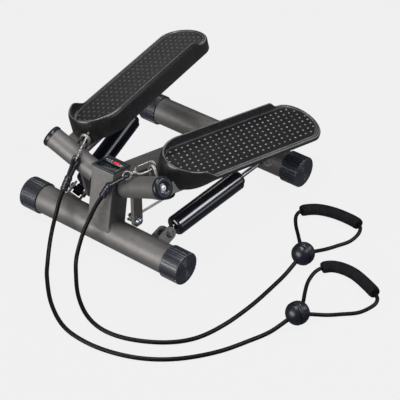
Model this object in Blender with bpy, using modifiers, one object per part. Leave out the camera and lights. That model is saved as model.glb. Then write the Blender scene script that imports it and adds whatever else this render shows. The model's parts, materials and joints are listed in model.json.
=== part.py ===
"""Twist stepper with two pull bands, as an assembly of separate solids.

Metres, +Z up, +X to the right-hand pedal's side, +Y from the post to the rear tube.
Lengths are measured in a machine frame whose origin is on the floor under the middle
of the front tube; an empty shifts that frame so that the footprint is centred.
"""
import math

import bmesh
import bpy
from mathutils import Euler, Matrix, Vector

MM = 0.001
GAP = 0.3 * MM
RIGHT = 1
LEFT = -1
SIDE_NAMES = {RIGHT: "right", LEFT: "left"}

# Where the machine frame sits in the part's frame.
FRAME_SHIFT = Vector((-7.22, -180.39, 0.0)) * MM

# Stabiliser tubes and their ribbed end caps.
TUBE_R = 25.0 * MM
TUBE_WALL = 2.0 * MM
CAP_R = 28.0 * MM
CAP_LENGTH = 35.4 * MM
CAP_WALL = 5.0 * MM
CAP_RIBS = 24
RIB_DEPTH = 0.9 * MM
FRONT_HALF = 170.7 * MM
REAR_HALF = 176.9 * MM
REAR_Y = 328.8 * MM

# Leaning post, its local Z is its own length.
POST_LEAN = math.radians(10.9)
POST_WIDTH = 45.3 * MM
POST_DEPTH = 43.5 * MM
POST_TOP = 119.5 * MM
SHEET = 2.0 * MM

# Centre beam: a rectangular tube from the post down to the rear tube.
BEAM_WIDTH = 40.0 * MM
BEAM_DEPTH = 40.0 * MM
BEAM_SLOPE = math.radians(15.6)
BEAM_TOP_Z_AT_POST = 121.5 * MM
BEAM_TOP_Y = 50.0 * MM

# Monitor on the post's top.
MONITOR_LIP = 3.0 * MM
SCREEN_SIZE = Vector((36.0, 20.0, 1.0)) * MM
SCREEN_Y = -8.0 * MM
BUTTON_SIZE = Vector((12.0, 5.5, 4.0)) * MM
BUTTON_PLACE = Vector((4.0, 8.0, 0.0)) * MM

# Pedal pivots: a sleeve turning on an axle that rises outwards.
SLEEVE_RISE = math.radians(26.7)
SLEEVE_SWEEP = math.radians(7.0)
SLEEVE_CENTRE = Vector((71.8, 15.7, 138.8)) * MM
SLEEVE_R = 18.0 * MM
SLEEVE_BORE = 15.0 * MM
SLEEVE_OUT = 50.0 * MM
SLEEVE_IN = -45.5 * MM
SPIGOT = 18.0 * MM
FLANGE_R = 19.0 * MM
FLANGE = 6.0 * MM
AXLE_R = 8.0 * MM
BOLT_R = 3.7 * MM
COLLAR_R = 16.8 * MM

# Swing of the arms about their sleeves; zero is a level arm.
ARM_LOW = math.radians(-9.26)
ARM_HIGH = math.radians(3.84)
ARM_ANGLE = {RIGHT: ARM_LOW, LEFT: ARM_HIGH}

# Arm: a rectangular tube behind the sleeve, in the sleeve's frame.
ARM_INNER = -7.0 * MM
ARM_OUTER = 32.8 * MM
ARM_TOP = -0.5 * MM
ARM_THICK = 19.5 * MM
ARM_END = 290.0 * MM

# Pedal tray: x across (outwards), y from toe to heel, z off the floor of the tray.
PEDAL_ORIGIN = Vector((22.7, 32.5, 17.3)) * MM
PEDAL_ROLL = math.radians(38.4)
PEDAL_TOE_IN = math.radians(1.15)
PEDAL_LENGTH = 344.0 * MM
PEDAL_WIDTH = 98.6 * MM
TOE_DEPTH = 61.0 * MM
HEEL_DEPTH = 38.5 * MM
WALL_HEIGHT = 16.7 * MM
WALL_THICK = 4.6 * MM
RIM_HEIGHT = 1.4 * MM
FLOOR_THICK = 4.0 * MM
SKIRT_INNER = 20.0 * MM
SKIRT_OUTER = 6.0 * MM
OUTER_WALL_FALL = (38.0 * MM, 76.0 * MM)
INNER_WALL_FALL = (276.0 * MM, 304.0 * MM)
SEAT_SPAN = (60.0 * MM, 250.0 * MM)
SEAT_THICK = 3.0 * MM

# Lever under each sleeve, and the cable that joins the two levers round a pulley.
LEVER_BOLT = Vector((55.0, 17.2, 62.5)) * MM
LEVER_TOP_Z = 122.0 * MM
LEVER_THICK = 6.6 * MM
LEVER_WIDTH = 21.5 * MM
CABLE_R = 1.75 * MM
CABLE_EYE_X = 44.5 * MM
PULLEY_Y = 136.0 * MM
PULLEY_R = 33.0 * MM
PULLEY_PITCH = 29.5 * MM
PULLEY_THICK = 12.0 * MM
PULLEY_BORE = 6.3 * MM

# Dampers: lower pivot in the machine frame, upper pivot in the sleeve's frame.
DAMPER_FOOT = Vector((95.7, 41.6, 39.7)) * MM
DAMPER_HEAD = Vector((-1.7, 261.5, -29.7)) * MM
DAMPER_R = 17.5 * MM
DAMPER_START = 17.0 * MM
DAMPER_LENGTH = 155.0 * MM
ROD_R = 4.0 * MM
ROD_INSIDE = 60.0 * MM
LUG_R = 9.0 * MM
LUG_WIDTH = 14.0 * MM
PIN_R = 4.0 * MM
ROD_PIN_R = 3.0 * MM
ROD_LUG_R = 7.2 * MM
ROD_SLACK = 1.6 * MM
EAR_R = 11.0 * MM
EAR_GAP = 20.0 * MM
EAR_THICK = 3.0 * MM

# Band hardware.
EYE_WIRE = 2.5 * MM
EYE_HALF = 7.5 * MM
EYE_PLACE = Vector((4.0, 22.5, 30.0)) * MM
HOOK_WIRE = 1.9 * MM
HOOK_REACH = 42.0 * MM
RING_R = 6.5 * MM
BAND_R = 3.5 * MM
CORD_R = 3.2 * MM
FERRULE_R = 6.5 * MM
FERRULE_LENGTH = 28.0 * MM
BALL_R = 20.0 * MM
GRIP_R = 10.0 * MM
HOOK_RING = {
    RIGHT: Vector((38.0, -4.0, 152.0)) * MM,
    LEFT: Vector((-50.5, -6.5, 152.0)) * MM,
}

# Routes of the bands over the floor, from each ferrule to its ball.
BAND_ROUTE = {
    RIGHT: (
        (0.014, -0.019, 0.1148), (0.006, -0.027, 0.0962), (-0.001, -0.037, 0.0721),
        (-0.005, -0.048, 0.0510), (-0.006, -0.059, 0.0300), (-0.001, -0.074, 0.0130),
        (0.015, -0.094, 0.0050), (0.053, -0.132, 0.0039), (0.096, -0.160, 0.0039),
        (0.139, -0.170, 0.0039), (0.184, -0.161, 0.0039), (0.232, -0.134, 0.0039),
        (0.264, -0.098, 0.0039), (0.281, -0.048, 0.0039), (0.289, 0.015, 0.0039),
        (0.290, 0.077, 0.0039), (0.290, 0.109, 0.0055), (0.2915, 0.1356, 0.0140),
    ),
    LEFT: (
        (-0.067, -0.024, 0.0928), (-0.070, -0.031, 0.0776), (-0.070, -0.043, 0.0536),
        (-0.064, -0.061, 0.0346), (-0.053, -0.082, 0.0180), (-0.037, -0.105, 0.0070),
        (-0.015, -0.131, 0.0039), (0.031, -0.172, 0.0039), (0.081, -0.200, 0.0039),
        (0.129, -0.207, 0.0039), (0.180, -0.200, 0.0039), (0.230, -0.180, 0.0039),
        (0.273, -0.147, 0.0039), (0.310, -0.100, 0.0039), (0.335, -0.049, 0.0039),
        (0.349, -0.018, 0.0060), (0.3597, 0.0130, 0.0140),
    ),
}
# Handle loops, from the ball out through the grip and back to the ball.
LOOP_ROUTE = {
    RIGHT: (
        (0.2813, 0.1671, 0.0136), (0.263, 0.189, 0.0060), (0.247, 0.207, 0.0037),
        (0.232, 0.223, 0.0045), (0.222, 0.237, 0.0080), (0.220, 0.249, 0.0104),
        (0.226, 0.262, 0.0104), (0.243, 0.276, 0.0104), (0.268, 0.284, 0.0104),
        (0.297, 0.286, 0.0104), (0.318, 0.283, 0.0104), (0.328, 0.274, 0.0104),
        (0.331, 0.260, 0.0075), (0.327, 0.242, 0.0037), (0.316, 0.219, 0.0037),
        (0.307, 0.200, 0.0050), (0.2978, 0.1712, 0.0138),
    ),
    LEFT: (
        (0.3611, 0.0466, 0.0132), (0.350, 0.071, 0.0060), (0.338, 0.094, 0.0037),
        (0.329, 0.116, 0.0045), (0.327, 0.137, 0.0080), (0.332, 0.152, 0.0104),
        (0.343, 0.165, 0.0104), (0.361, 0.171, 0.0104), (0.384, 0.170, 0.0104),
        (0.411, 0.161, 0.0104), (0.436, 0.149, 0.0104), (0.446, 0.136, 0.0104),
        (0.444, 0.122, 0.0075), (0.433, 0.103, 0.0037), (0.414, 0.084, 0.0037),
        (0.397, 0.067, 0.0050), (0.3780, 0.0437, 0.0136),
    ),
}
BALL_CENTRE = {
    RIGHT: Vector((293.3, 153.7, 20.3)) * MM,
    LEFT: Vector((366.7, 29.6, 20.3)) * MM,
}
GRIP_SPAN = (0.33, 0.66)
CORD_STEP = 12.5 * MM

FINISHES = {
    "frame_paint": ((0.085, 0.078, 0.074), 0.38, 0.55),
    "black_rubber": ((0.018, 0.019, 0.022), 0.60, 0.0),
    "tray_plastic": ((0.020, 0.020, 0.020), 0.50, 0.0),
    "dark_plastic": ((0.012, 0.013, 0.018), 0.35, 0.0),
    "gloss_black": ((0.006, 0.006, 0.010), 0.10, 0.0),
    "chrome": ((0.80, 0.80, 0.82), 0.12, 1.0),
    "zinc": ((0.62, 0.64, 0.66), 0.32, 1.0),
    "steel_cable": ((0.55, 0.55, 0.53), 0.40, 1.0),
    "nickel": ((0.45, 0.42, 0.39), 0.25, 1.0),
    "screen_glass": ((0.004, 0.014, 0.016), 0.08, 0.0),
    "red_plastic": ((0.75, 0.01, 0.02), 0.35, 0.0),
    "foam": ((0.012, 0.012, 0.013), 0.90, 0.0),
}


# --- scene and placing ------------------------------------------------------------

def clear_scene():
    for thing in list(bpy.data.objects):
        bpy.data.objects.remove(thing, do_unlink=True)


def new_collection(name):
    group = bpy.data.collections.new(name)
    bpy.context.scene.collection.children.link(group)
    return group


def finish_material(name):
    """The Principled material of one finish, made on first use."""
    if name in bpy.data.materials:
        return bpy.data.materials[name]
    colour, roughness, metallic = FINISHES[name]
    mat = bpy.data.materials.new(name)
    mat.use_nodes = True
    shader = mat.node_tree.nodes["Principled BSDF"]
    shader.inputs["Base Color"].default_value = (*colour, 1.0)
    shader.inputs["Roughness"].default_value = roughness
    shader.inputs["Metallic"].default_value = metallic
    mat.diffuse_color = (*colour, 1.0)
    return mat


def matrix_at(place=(0, 0, 0), turn=(0, 0, 0)):
    return Matrix.LocRotScale(Vector(place), Euler(turn), None)


def axes_matrix(origin, x_axis, y_hint):
    """Right-handed frame at origin with the given X and a Y close to the hint."""
    x = Vector(x_axis).normalized()
    z = x.cross(Vector(y_hint)).normalized()
    y = z.cross(x)
    turn = Matrix((x, y, z)).transposed().to_4x4()
    return Matrix.Translation(origin) @ turn


def mirrored(matrix, side):
    """The same placing on the other side of the machine's middle plane."""
    flip = Matrix.Diagonal((side, 1, 1, 1))
    return flip @ matrix @ flip


def add_empty(name, parent, matrix):
    empty = bpy.data.objects.new(name, None)
    empty.empty_display_size = 0.02
    parts.objects.link(empty)
    empty.parent = parent
    empty.matrix_basis = matrix
    return empty


def finish_object(obj, name, parent, finish, matrix):
    """Name a new object, give it its finish, and place it under its parent."""
    obj.name = name
    obj.data.name = name
    if obj.name not in parts.objects:
        parts.objects.link(obj)
    obj.data.materials.clear()
    obj.data.materials.append(finish_material(finish))
    obj.parent = parent
    obj.matrix_basis = matrix
    if obj.type == "MESH" and obj.data.polygons:
        obj.data.shade_smooth()
        obj.data.set_sharp_from_angle(angle=math.radians(35))
    return obj


def as_cutter(obj):
    """Keep a tool solid out of the part and draw it as a wire."""
    parts.objects.unlink(obj)
    cutters.objects.link(obj)
    obj.hide_render = True
    obj.display_type = "WIRE"
    return obj


def combine(obj, tool, operation="DIFFERENCE"):
    """Boolean obj with a tool solid, which becomes a guide."""
    step = obj.modifiers.new(operation.lower(), "BOOLEAN")
    step.operation = operation
    step.solver = "EXACT"
    step.object = as_cutter(tool)
    return obj


def bevel(obj, width, segments=2, angle=40):
    step = obj.modifiers.new("edges", "BEVEL")
    step.width = width
    step.segments = segments
    step.limit_method = "ANGLE"
    step.angle_limit = math.radians(angle)
    return obj


# --- basic solids -----------------------------------------------------------------

def box(name, parent, finish, size, matrix):
    bpy.ops.mesh.primitive_cube_add(size=1)
    obj = bpy.context.object
    obj.data.transform(Matrix.Diagonal((*size, 1)))
    return finish_object(obj, name, parent, finish, matrix)


def rod(name, parent, finish, radius, length, matrix, axis="Z", sides=24):
    """A plain cylinder centred on its origin along X, Y or Z."""
    bpy.ops.mesh.primitive_cylinder_add(vertices=sides, radius=radius, depth=length)
    obj = bpy.context.object
    turn = {"X": (0, math.pi / 2, 0), "Y": (math.pi / 2, 0, 0), "Z": (0, 0, 0)}[axis]
    obj.data.transform(Euler(turn).to_matrix().to_4x4())
    return finish_object(obj, name, parent, finish, matrix)


def prism(name, parent, finish, outline, depth, matrix):
    """A flat outline in local XY, thickened to both sides."""
    mesh = bpy.data.meshes.new(name)
    obj = bpy.data.objects.new(name, mesh)
    shape = bmesh.new()
    shape.faces.new([shape.verts.new((x, y, 0)) for x, y in outline])
    bmesh.ops.recalc_face_normals(shape, faces=shape.faces)
    shape.to_mesh(mesh)
    shape.free()
    finish_object(obj, name, parent, finish, matrix)
    plate = obj.modifiers.new("thickness", "SOLIDIFY")
    plate.thickness = depth
    plate.offset = 0
    return obj


def turned(name, parent, finish, profile, matrix, steps):
    """A profile of (radius, height) turned about local Z; off the axis it is a ring."""
    count = len(profile)
    edges = [(i, i + 1) for i in range(count - 1)]
    if profile[0][0] > 0:
        edges.append((count - 1, 0))
    mesh = bpy.data.meshes.new(name)
    mesh.from_pydata([(r, 0, z) for r, z in profile], edges, [])
    obj = bpy.data.objects.new(name, mesh)
    finish_object(obj, name, parent, finish, matrix)
    screw = obj.modifiers.new("turn", "SCREW")
    screw.axis = "Z"
    screw.angle = 2 * math.pi
    screw.steps = steps
    screw.render_steps = steps
    screw.use_merge_vertices = True
    screw.merge_threshold = 0.00001
    screw.use_smooth_shade = True
    return obj


def wire(name, parent, finish, points, radius, matrix, closed=False, resolution=2):
    curve = bpy.data.curves.new(name, "CURVE")
    curve.dimensions = "3D"
    curve.bevel_depth = radius
    curve.bevel_resolution = resolution
    curve.use_fill_caps = not closed
    spline = curve.splines.new("POLY")
    spline.points.add(len(points) - 1)
    for point, place in zip(spline.points, points):
        point.co = (*place, 1)
    spline.use_cyclic_u = closed
    obj = bpy.data.objects.new(name, curve)
    return finish_object(obj, name, parent, finish, matrix)


def wire_mesh(name, parent, finish, points, radius, matrix, closed=False, resolution=2):
    """A wire as a mesh with welded caps, for Boolean work."""
    guide = wire(name + "_line", parent, finish, points, radius, matrix, closed, resolution)
    bpy.context.view_layer.update()
    evaluated = guide.evaluated_get(bpy.context.evaluated_depsgraph_get())
    mesh = bpy.data.meshes.new_from_object(evaluated)
    shape = bmesh.new()
    shape.from_mesh(mesh)
    bmesh.ops.remove_doubles(shape, verts=shape.verts, dist=0.00001)
    bmesh.ops.recalc_face_normals(shape, faces=shape.faces)
    shape.to_mesh(mesh)
    shape.free()
    obj = bpy.data.objects.new(name, mesh)
    bpy.data.objects.remove(guide, do_unlink=True)
    return finish_object(obj, name, parent, finish, matrix)


def smooth_route(points, spacing):
    """Evenly spaced points along a smooth curve through the given ones."""
    knots = [Vector(p) for p in points]
    knots = [2 * knots[0] - knots[1]] + knots + [2 * knots[-1] - knots[-2]]
    fine = []
    for i in range(1, len(knots) - 2):
        a, b, c, d = knots[i - 1:i + 3]
        for k in range(24):
            t = k / 24
            fine.append(0.5 * (2 * b + (c - a) * t + (2 * a - 5 * b + 4 * c - d) * t ** 2
                               + (3 * b - a - 3 * c + d) * t ** 3))
    fine.append(knots[-2])
    lengths = [0.0]
    for p, q in zip(fine, fine[1:]):
        lengths.append(lengths[-1] + (q - p).length)
    count = max(2, round(lengths[-1] / spacing))
    route = []
    place = 0
    for k in range(count + 1):
        target = lengths[-1] * k / count
        while place < len(lengths) - 2 and lengths[place + 1] < target:
            place += 1
        step = lengths[place + 1] - lengths[place]
        share = (target - lengths[place]) / step if step else 0
        route.append(fine[place].lerp(fine[place + 1], min(share, 1.0)))
    return route


def arc_points(centre, radius, start, end, count):
    """Points on an arc in a plane, as (x, y) pairs; angles in radians."""
    cx, cy = centre
    return [(cx + radius * math.cos(start + (end - start) * k / count),
             cy + radius * math.sin(start + (end - start) * k / count))
            for k in range(count + 1)]


# --- stabilisers ------------------------------------------------------------------

def stabiliser(name, y, half):
    """A round tube across the machine that ends inside its caps."""
    end = half - CAP_WALL - GAP
    inner = TUBE_R - TUBE_WALL
    profile = [(TUBE_R, end), (TUBE_R, -end), (inner, -end), (inner, end)]
    across = matrix_at((0, y, CAP_R), (0, math.pi / 2, 0))
    return turned(name, frame, "frame_paint", profile, across, steps=40)


def cap_outline():
    """Ribs as flats on the full radius with narrow grooves between them."""
    outline = []
    pitch = 2 * math.pi / CAP_RIBS
    corner = CAP_R / math.cos(0.34 * pitch)
    for k in range(CAP_RIBS):
        for share, radius in ((-0.34, corner), (0.34, corner),
                              (0.42, CAP_R - RIB_DEPTH), (0.58, CAP_R - RIB_DEPTH)):
            angle = (k + share) * pitch - math.pi / 2
            outline.append((radius * math.cos(angle), radius * math.sin(angle)))
    return outline


def end_cap(name, y, half, side):
    """A ribbed cup pushed over the tube's end; its lowest rib rests on the floor."""
    middle = (half - CAP_LENGTH / 2) * side
    place = matrix_at((middle, y, CAP_R), (0, math.pi / 2 * side, 0))
    cap = prism(name, frame, "black_rubber", cap_outline(), CAP_LENGTH, place)
    depth = CAP_LENGTH - CAP_WALL
    bore = rod(name + "_bore", frame, "black_rubber", TUBE_R + GAP, depth + 0.01,
               place @ Matrix.Translation((0, 0, -CAP_WALL / 2 - 0.005)), sides=40)
    return combine(cap, bore)


# --- post, beam and monitor -------------------------------------------------------

def post_frame():
    """The post's frame: origin on the front tube's axis, Z along the post."""
    return matrix_at((0, 0, CAP_R), (-POST_LEAN, 0, 0))


def post_block(name, growth):
    """The post's outer envelope as a tool solid, grown by a clearance."""
    size = (POST_WIDTH + 2 * growth, POST_DEPTH + 2 * growth, POST_TOP + 2 * growth)
    return box(name, frame, "frame_paint", size,
               post_frame() @ Matrix.Translation((0, 0, POST_TOP / 2)))


def front_post():
    post = box("front_post", frame, "frame_paint", (POST_WIDTH, POST_DEPTH, POST_TOP),
               post_frame() @ Matrix.Translation((0, 0, POST_TOP / 2)))
    inside = box("post_inside", frame, "frame_paint",
                 (POST_WIDTH - 2 * SHEET, POST_DEPTH - 2 * SHEET, POST_TOP + 0.02),
                 post_frame() @ Matrix.Translation((0, 0, POST_TOP / 2)))
    bevel(post, 1.2 * MM)
    combine(post, inside)
    saddle = rod("post_saddle", frame, "frame_paint", TUBE_R + GAP, 0.08,
                 matrix_at((0, 0, CAP_R)), axis="X", sides=40)
    return combine(post, saddle)


def centre_beam():
    length = 0.30
    slope = matrix_at((0, BEAM_TOP_Y, BEAM_TOP_Z_AT_POST), (-BEAM_SLOPE, 0, 0))
    middle = slope @ Matrix.Translation((0, length / 2 - 0.03, -BEAM_DEPTH / 2))
    beam = box("centre_beam", frame, "frame_paint", (BEAM_WIDTH, length, BEAM_DEPTH), middle)
    bevel(beam, 1.5 * MM)
    inside = box("beam_inside", frame, "frame_paint",
                 (BEAM_WIDTH - 2 * SHEET, length + 0.02, BEAM_DEPTH - 2 * SHEET), middle)
    combine(beam, inside)
    combine(beam, post_block("beam_front_trim", GAP))
    over = box("beam_front_waste", frame, "frame_paint", (0.06, 0.06, 0.12),
               post_frame() @ Matrix.Translation((0, -0.03, POST_TOP - 0.02)))
    combine(beam, over)
    saddle = rod("beam_saddle", frame, "frame_paint", TUBE_R + GAP, 0.08,
                 matrix_at((0, REAR_Y, CAP_R)), axis="X", sides=40)
    combine(beam, saddle)
    waste = box("beam_rear_waste", frame, "frame_paint", (0.06, 0.06, 0.10),
                matrix_at((0, REAR_Y + 0.03, CAP_R)))
    return combine(beam, waste)


def top_frame():
    """The frame of the post's top edge, where the monitor sits."""
    return post_frame() @ Matrix.Translation((0, 0, POST_TOP))


def monitor_housing():
    """A lid on the post with a plug inside it, a screen recess and a button hole."""
    lid = box("monitor_housing", frame, "dark_plastic",
              (POST_WIDTH + 1 * MM, POST_DEPTH + 1 * MM, MONITOR_LIP),
              top_frame() @ Matrix.Translation((0, 0, MONITOR_LIP / 2 + GAP)))
    bevel(lid, 0.8 * MM)
    clear = 2 * SHEET + 2 * GAP
    plug = box("monitor_plug", frame, "dark_plastic",
               (POST_WIDTH - clear, POST_DEPTH - clear, 0.012),
               top_frame() @ Matrix.Translation((0, 0, -0.006 + MONITOR_LIP / 2)))
    combine(lid, plug, "UNION")
    deep = SCREEN_SIZE.z + GAP
    recess = box("screen_recess", frame, "dark_plastic",
                 (SCREEN_SIZE.x + 2 * GAP, SCREEN_SIZE.y + 2 * GAP, 2 * deep),
                 top_frame() @ Matrix.Translation((0, SCREEN_Y, MONITOR_LIP + GAP)))
    combine(lid, recess)
    hole = box("button_hole", frame, "dark_plastic",
               (BUTTON_SIZE.x + 2 * GAP, BUTTON_SIZE.y + 2 * GAP, 0.012),
               top_frame() @ Matrix.Translation(BUTTON_PLACE))
    return combine(lid, hole)


def monitor_screen():
    height = MONITOR_LIP + GAP - SCREEN_SIZE.z / 2
    return box("monitor_screen", frame, "screen_glass", SCREEN_SIZE,
               top_frame() @ Matrix.Translation((0, SCREEN_Y, height)))


def monitor_button():
    """The reset button; it sinks along the post's axis."""
    axis = add_empty("button_axis", frame, top_frame() @ Matrix.Translation(BUTTON_PLACE))
    rise = MONITOR_LIP + GAP + 1.2 * MM - BUTTON_SIZE.z / 2
    button = box("monitor_button", axis, "red_plastic", BUTTON_SIZE, matrix_at((0, 0, rise)))
    return bevel(button, 0.6 * MM)


# --- pedal pivots -----------------------------------------------------------------

def sleeve_matrix(side, angle):
    """Sleeve frame: X outwards along the axle, Y along the arm, in the machine frame."""
    out = Vector((math.cos(SLEEVE_RISE) * math.cos(SLEEVE_SWEEP),
                  -math.cos(SLEEVE_RISE) * math.sin(SLEEVE_SWEEP),
                  math.sin(SLEEVE_RISE)))
    level = Vector((-out.y, out.x, 0)).normalized()
    along = math.cos(angle) * level + math.sin(angle) * out.cross(level)
    return mirrored(axes_matrix(SLEEVE_CENTRE, out, along), side)


def along_sleeve(side, distance):
    """Turned shapes stand on the sleeve's axis with their Z pointing outwards."""
    return mirrored(matrix_at((distance, 0, 0), (0, math.pi / 2, 0)), side)


def sleeve(side, pivot):
    profile = [(SLEEVE_R, SLEEVE_OUT), (SLEEVE_R, SLEEVE_IN),
               (SLEEVE_BORE, SLEEVE_IN), (SLEEVE_BORE, SLEEVE_OUT)]
    return turned("sleeve_" + SIDE_NAMES[side], pivot, "frame_paint", profile,
                  along_sleeve(side, 0), steps=24)


def bush_outer(side, pivot):
    """Flanged plastic bush in the sleeve's outer end, with a raised ring on its face."""
    bore = AXLE_R + GAP
    top = SLEEVE_OUT + GAP + FLANGE
    shoulder = SLEEVE_OUT + GAP
    profile = [(bore, top), (bore + 3.6 * MM, top), (bore + 4.6 * MM, top - 1.0 * MM),
               (FLANGE_R - 2.2 * MM, top - 1.4 * MM), (FLANGE_R, top - 3.0 * MM),
               (FLANGE_R, shoulder), (SLEEVE_BORE - GAP, shoulder),
               (SLEEVE_BORE - GAP, shoulder - SPIGOT), (bore, shoulder - SPIGOT)]
    return turned("bush_outer_" + SIDE_NAMES[side], pivot, "dark_plastic", profile,
                  along_sleeve(side, 0), steps=24)


def post_side(name):
    """Everything between the planes of the post's two sides, as a tool solid."""
    return box(name, frame, "frame_paint", (POST_WIDTH + 2 * GAP, 0.2, 0.4), matrix_at())


def bush_inner(side, fixed):
    """Collar between post and sleeve, mitred to the post, with a spigot in the sleeve."""
    name = "bush_inner_" + SIDE_NAMES[side]
    bore = AXLE_R + GAP
    shoulder = SLEEVE_IN - GAP
    foot = shoulder - 0.030
    profile = [(bore, shoulder + SPIGOT), (SLEEVE_BORE - GAP, shoulder + SPIGOT),
               (SLEEVE_BORE - GAP, shoulder), (COLLAR_R, shoulder), (COLLAR_R, foot),
               (bore, foot)]
    bush = turned(name, fixed, "dark_plastic", profile, along_sleeve(side, 0), steps=24)
    return combine(bush, post_side(name + "_mitre"))


def axle(side, fixed):
    """Steel axle welded to the post's side, tapped at its outer end."""
    name = "axle_" + SIDE_NAMES[side]
    top = SLEEVE_OUT
    floor = top - 0.013
    foot = SLEEVE_IN - 0.030
    bore = BOLT_R + GAP
    profile = [(0, floor), (bore, floor), (bore, top), (AXLE_R, top), (AXLE_R, foot), (0, foot)]
    bar = turned(name, fixed, "zinc", profile, along_sleeve(side, 0), steps=20)
    return combine(bar, post_side(name + "_mitre"))


def axle_bolt(side, fixed):
    """Button-head bolt in the axle's end, seen in the middle of the bush."""
    seat = SLEEVE_OUT + GAP
    profile = [(0, seat + 3.0 * MM), (1.8 * MM, seat + 3.0 * MM), (2.2 * MM, seat + 4.4 * MM),
               (4.6 * MM, seat + 3.9 * MM), (6.3 * MM, seat + 1.6 * MM), (6.3 * MM, seat),
               (BOLT_R, seat), (BOLT_R, seat - 0.0115), (0, seat - 0.0115)]
    return turned("axle_bolt_" + SIDE_NAMES[side], fixed, "zinc", profile,
                  along_sleeve(side, 0), steps=18)


# --- arm and pedal ----------------------------------------------------------------

def pedal_matrix(side):
    """Tray frame in the sleeve's frame."""
    return mirrored(matrix_at(PEDAL_ORIGIN, (0, PEDAL_ROLL, PEDAL_TOE_IN)), side)


def arm(side, pivot):
    """Rectangular arm tube with the welded, folded seat that carries the tray."""
    name = "arm_" + SIDE_NAMES[side]
    width = ARM_OUTER - ARM_INNER
    start = 8.0 * MM
    length = ARM_END - start
    centre = mirrored(matrix_at(((ARM_INNER + ARM_OUTER) / 2, start + length / 2,
                                 ARM_TOP - ARM_THICK / 2)), side)
    tube = box(name, pivot, "frame_paint", (width, length, ARM_THICK), centre)
    bevel(tube, 1.5 * MM)
    inside = box(name + "_inside", pivot, "frame_paint",
                 (width - 2 * SHEET, length + 0.02, ARM_THICK - 2 * SHEET), centre)
    combine(tube, inside)
    span = SEAT_SPAN[1] - SEAT_SPAN[0]
    middle = (SEAT_SPAN[0] + SEAT_SPAN[1]) / 2
    height = -FLOOR_THICK - GAP - SEAT_THICK / 2
    local = Matrix.Translation((-6.0 * MM * side, middle, height))
    plate = box(name + "_seat", pivot, "frame_paint", (56.0 * MM, span, SEAT_THICK),
                pedal_matrix(side) @ local)
    web_top = 29.0 * MM
    web = box(name + "_web", pivot, "frame_paint",
              (SEAT_THICK, span, web_top - ARM_TOP + SEAT_THICK / 2),
              mirrored(matrix_at((ARM_INNER + SEAT_THICK / 2, PEDAL_ORIGIN.y + middle,
                                  (web_top + ARM_TOP - SEAT_THICK / 2) / 2)), side))
    combine(tube, web, "UNION")
    combine(tube, plate, "UNION")
    saddle = rod(name + "_saddle", pivot, "frame_paint", SLEEVE_R + GAP, 0.2,
                 Matrix.Identity(4), axis="X", sides=36)
    return combine(tube, saddle)


def fade(value, start, end):
    """1 before start, 0 after end, and a smooth S between them."""
    share = min(max((value - start) / (end - start), 0.0), 1.0)
    return 1 - share * share * (3 - 2 * share)


def tray_outline():
    """Outline of the tray as (x, y): half ellipses at toe and heel, straight sides."""
    half = PEDAL_WIDTH / 2
    points = []
    for k in range(16):
        angle = math.pi + math.pi * k / 16
        points.append((half * math.cos(angle), TOE_DEPTH + TOE_DEPTH * math.sin(angle)))
    straight = PEDAL_LENGTH - TOE_DEPTH - HEEL_DEPTH
    for k in range(7):
        points.append((half, TOE_DEPTH + straight * k / 7))
    for k in range(12):
        angle = math.pi * k / 12
        points.append((half * math.cos(angle),
                       PEDAL_LENGTH - HEEL_DEPTH + HEEL_DEPTH * math.sin(angle)))
    for k in range(8):
        points.append((-half, PEDAL_LENGTH - HEEL_DEPTH - straight * k / 8))
    return points


def wall_height(x, y):
    """Height of the tray's wall: full round the toe and inner side, low elsewhere."""
    outer = fade(y, *OUTER_WALL_FALL)
    inner = fade(y, *INNER_WALL_FALL)
    share = min(max(0.5 + x / (0.5 * PEDAL_WIDTH), 0.0), 1.0)
    return RIM_HEIGHT + (WALL_HEIGHT - RIM_HEIGHT) * (outer * share + inner * (1 - share))


def skirt_depth(x, y):
    """Depth of the skirt under the tray: deep at the toe and inner side."""
    outer = SKIRT_OUTER + (SKIRT_INNER - SKIRT_OUTER) * fade(y, 20 * MM, 95 * MM)
    share = min(max(0.5 + x / PEDAL_WIDTH, 0.0), 1.0)
    return outer * share + SKIRT_INNER * (1 - share)


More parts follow.
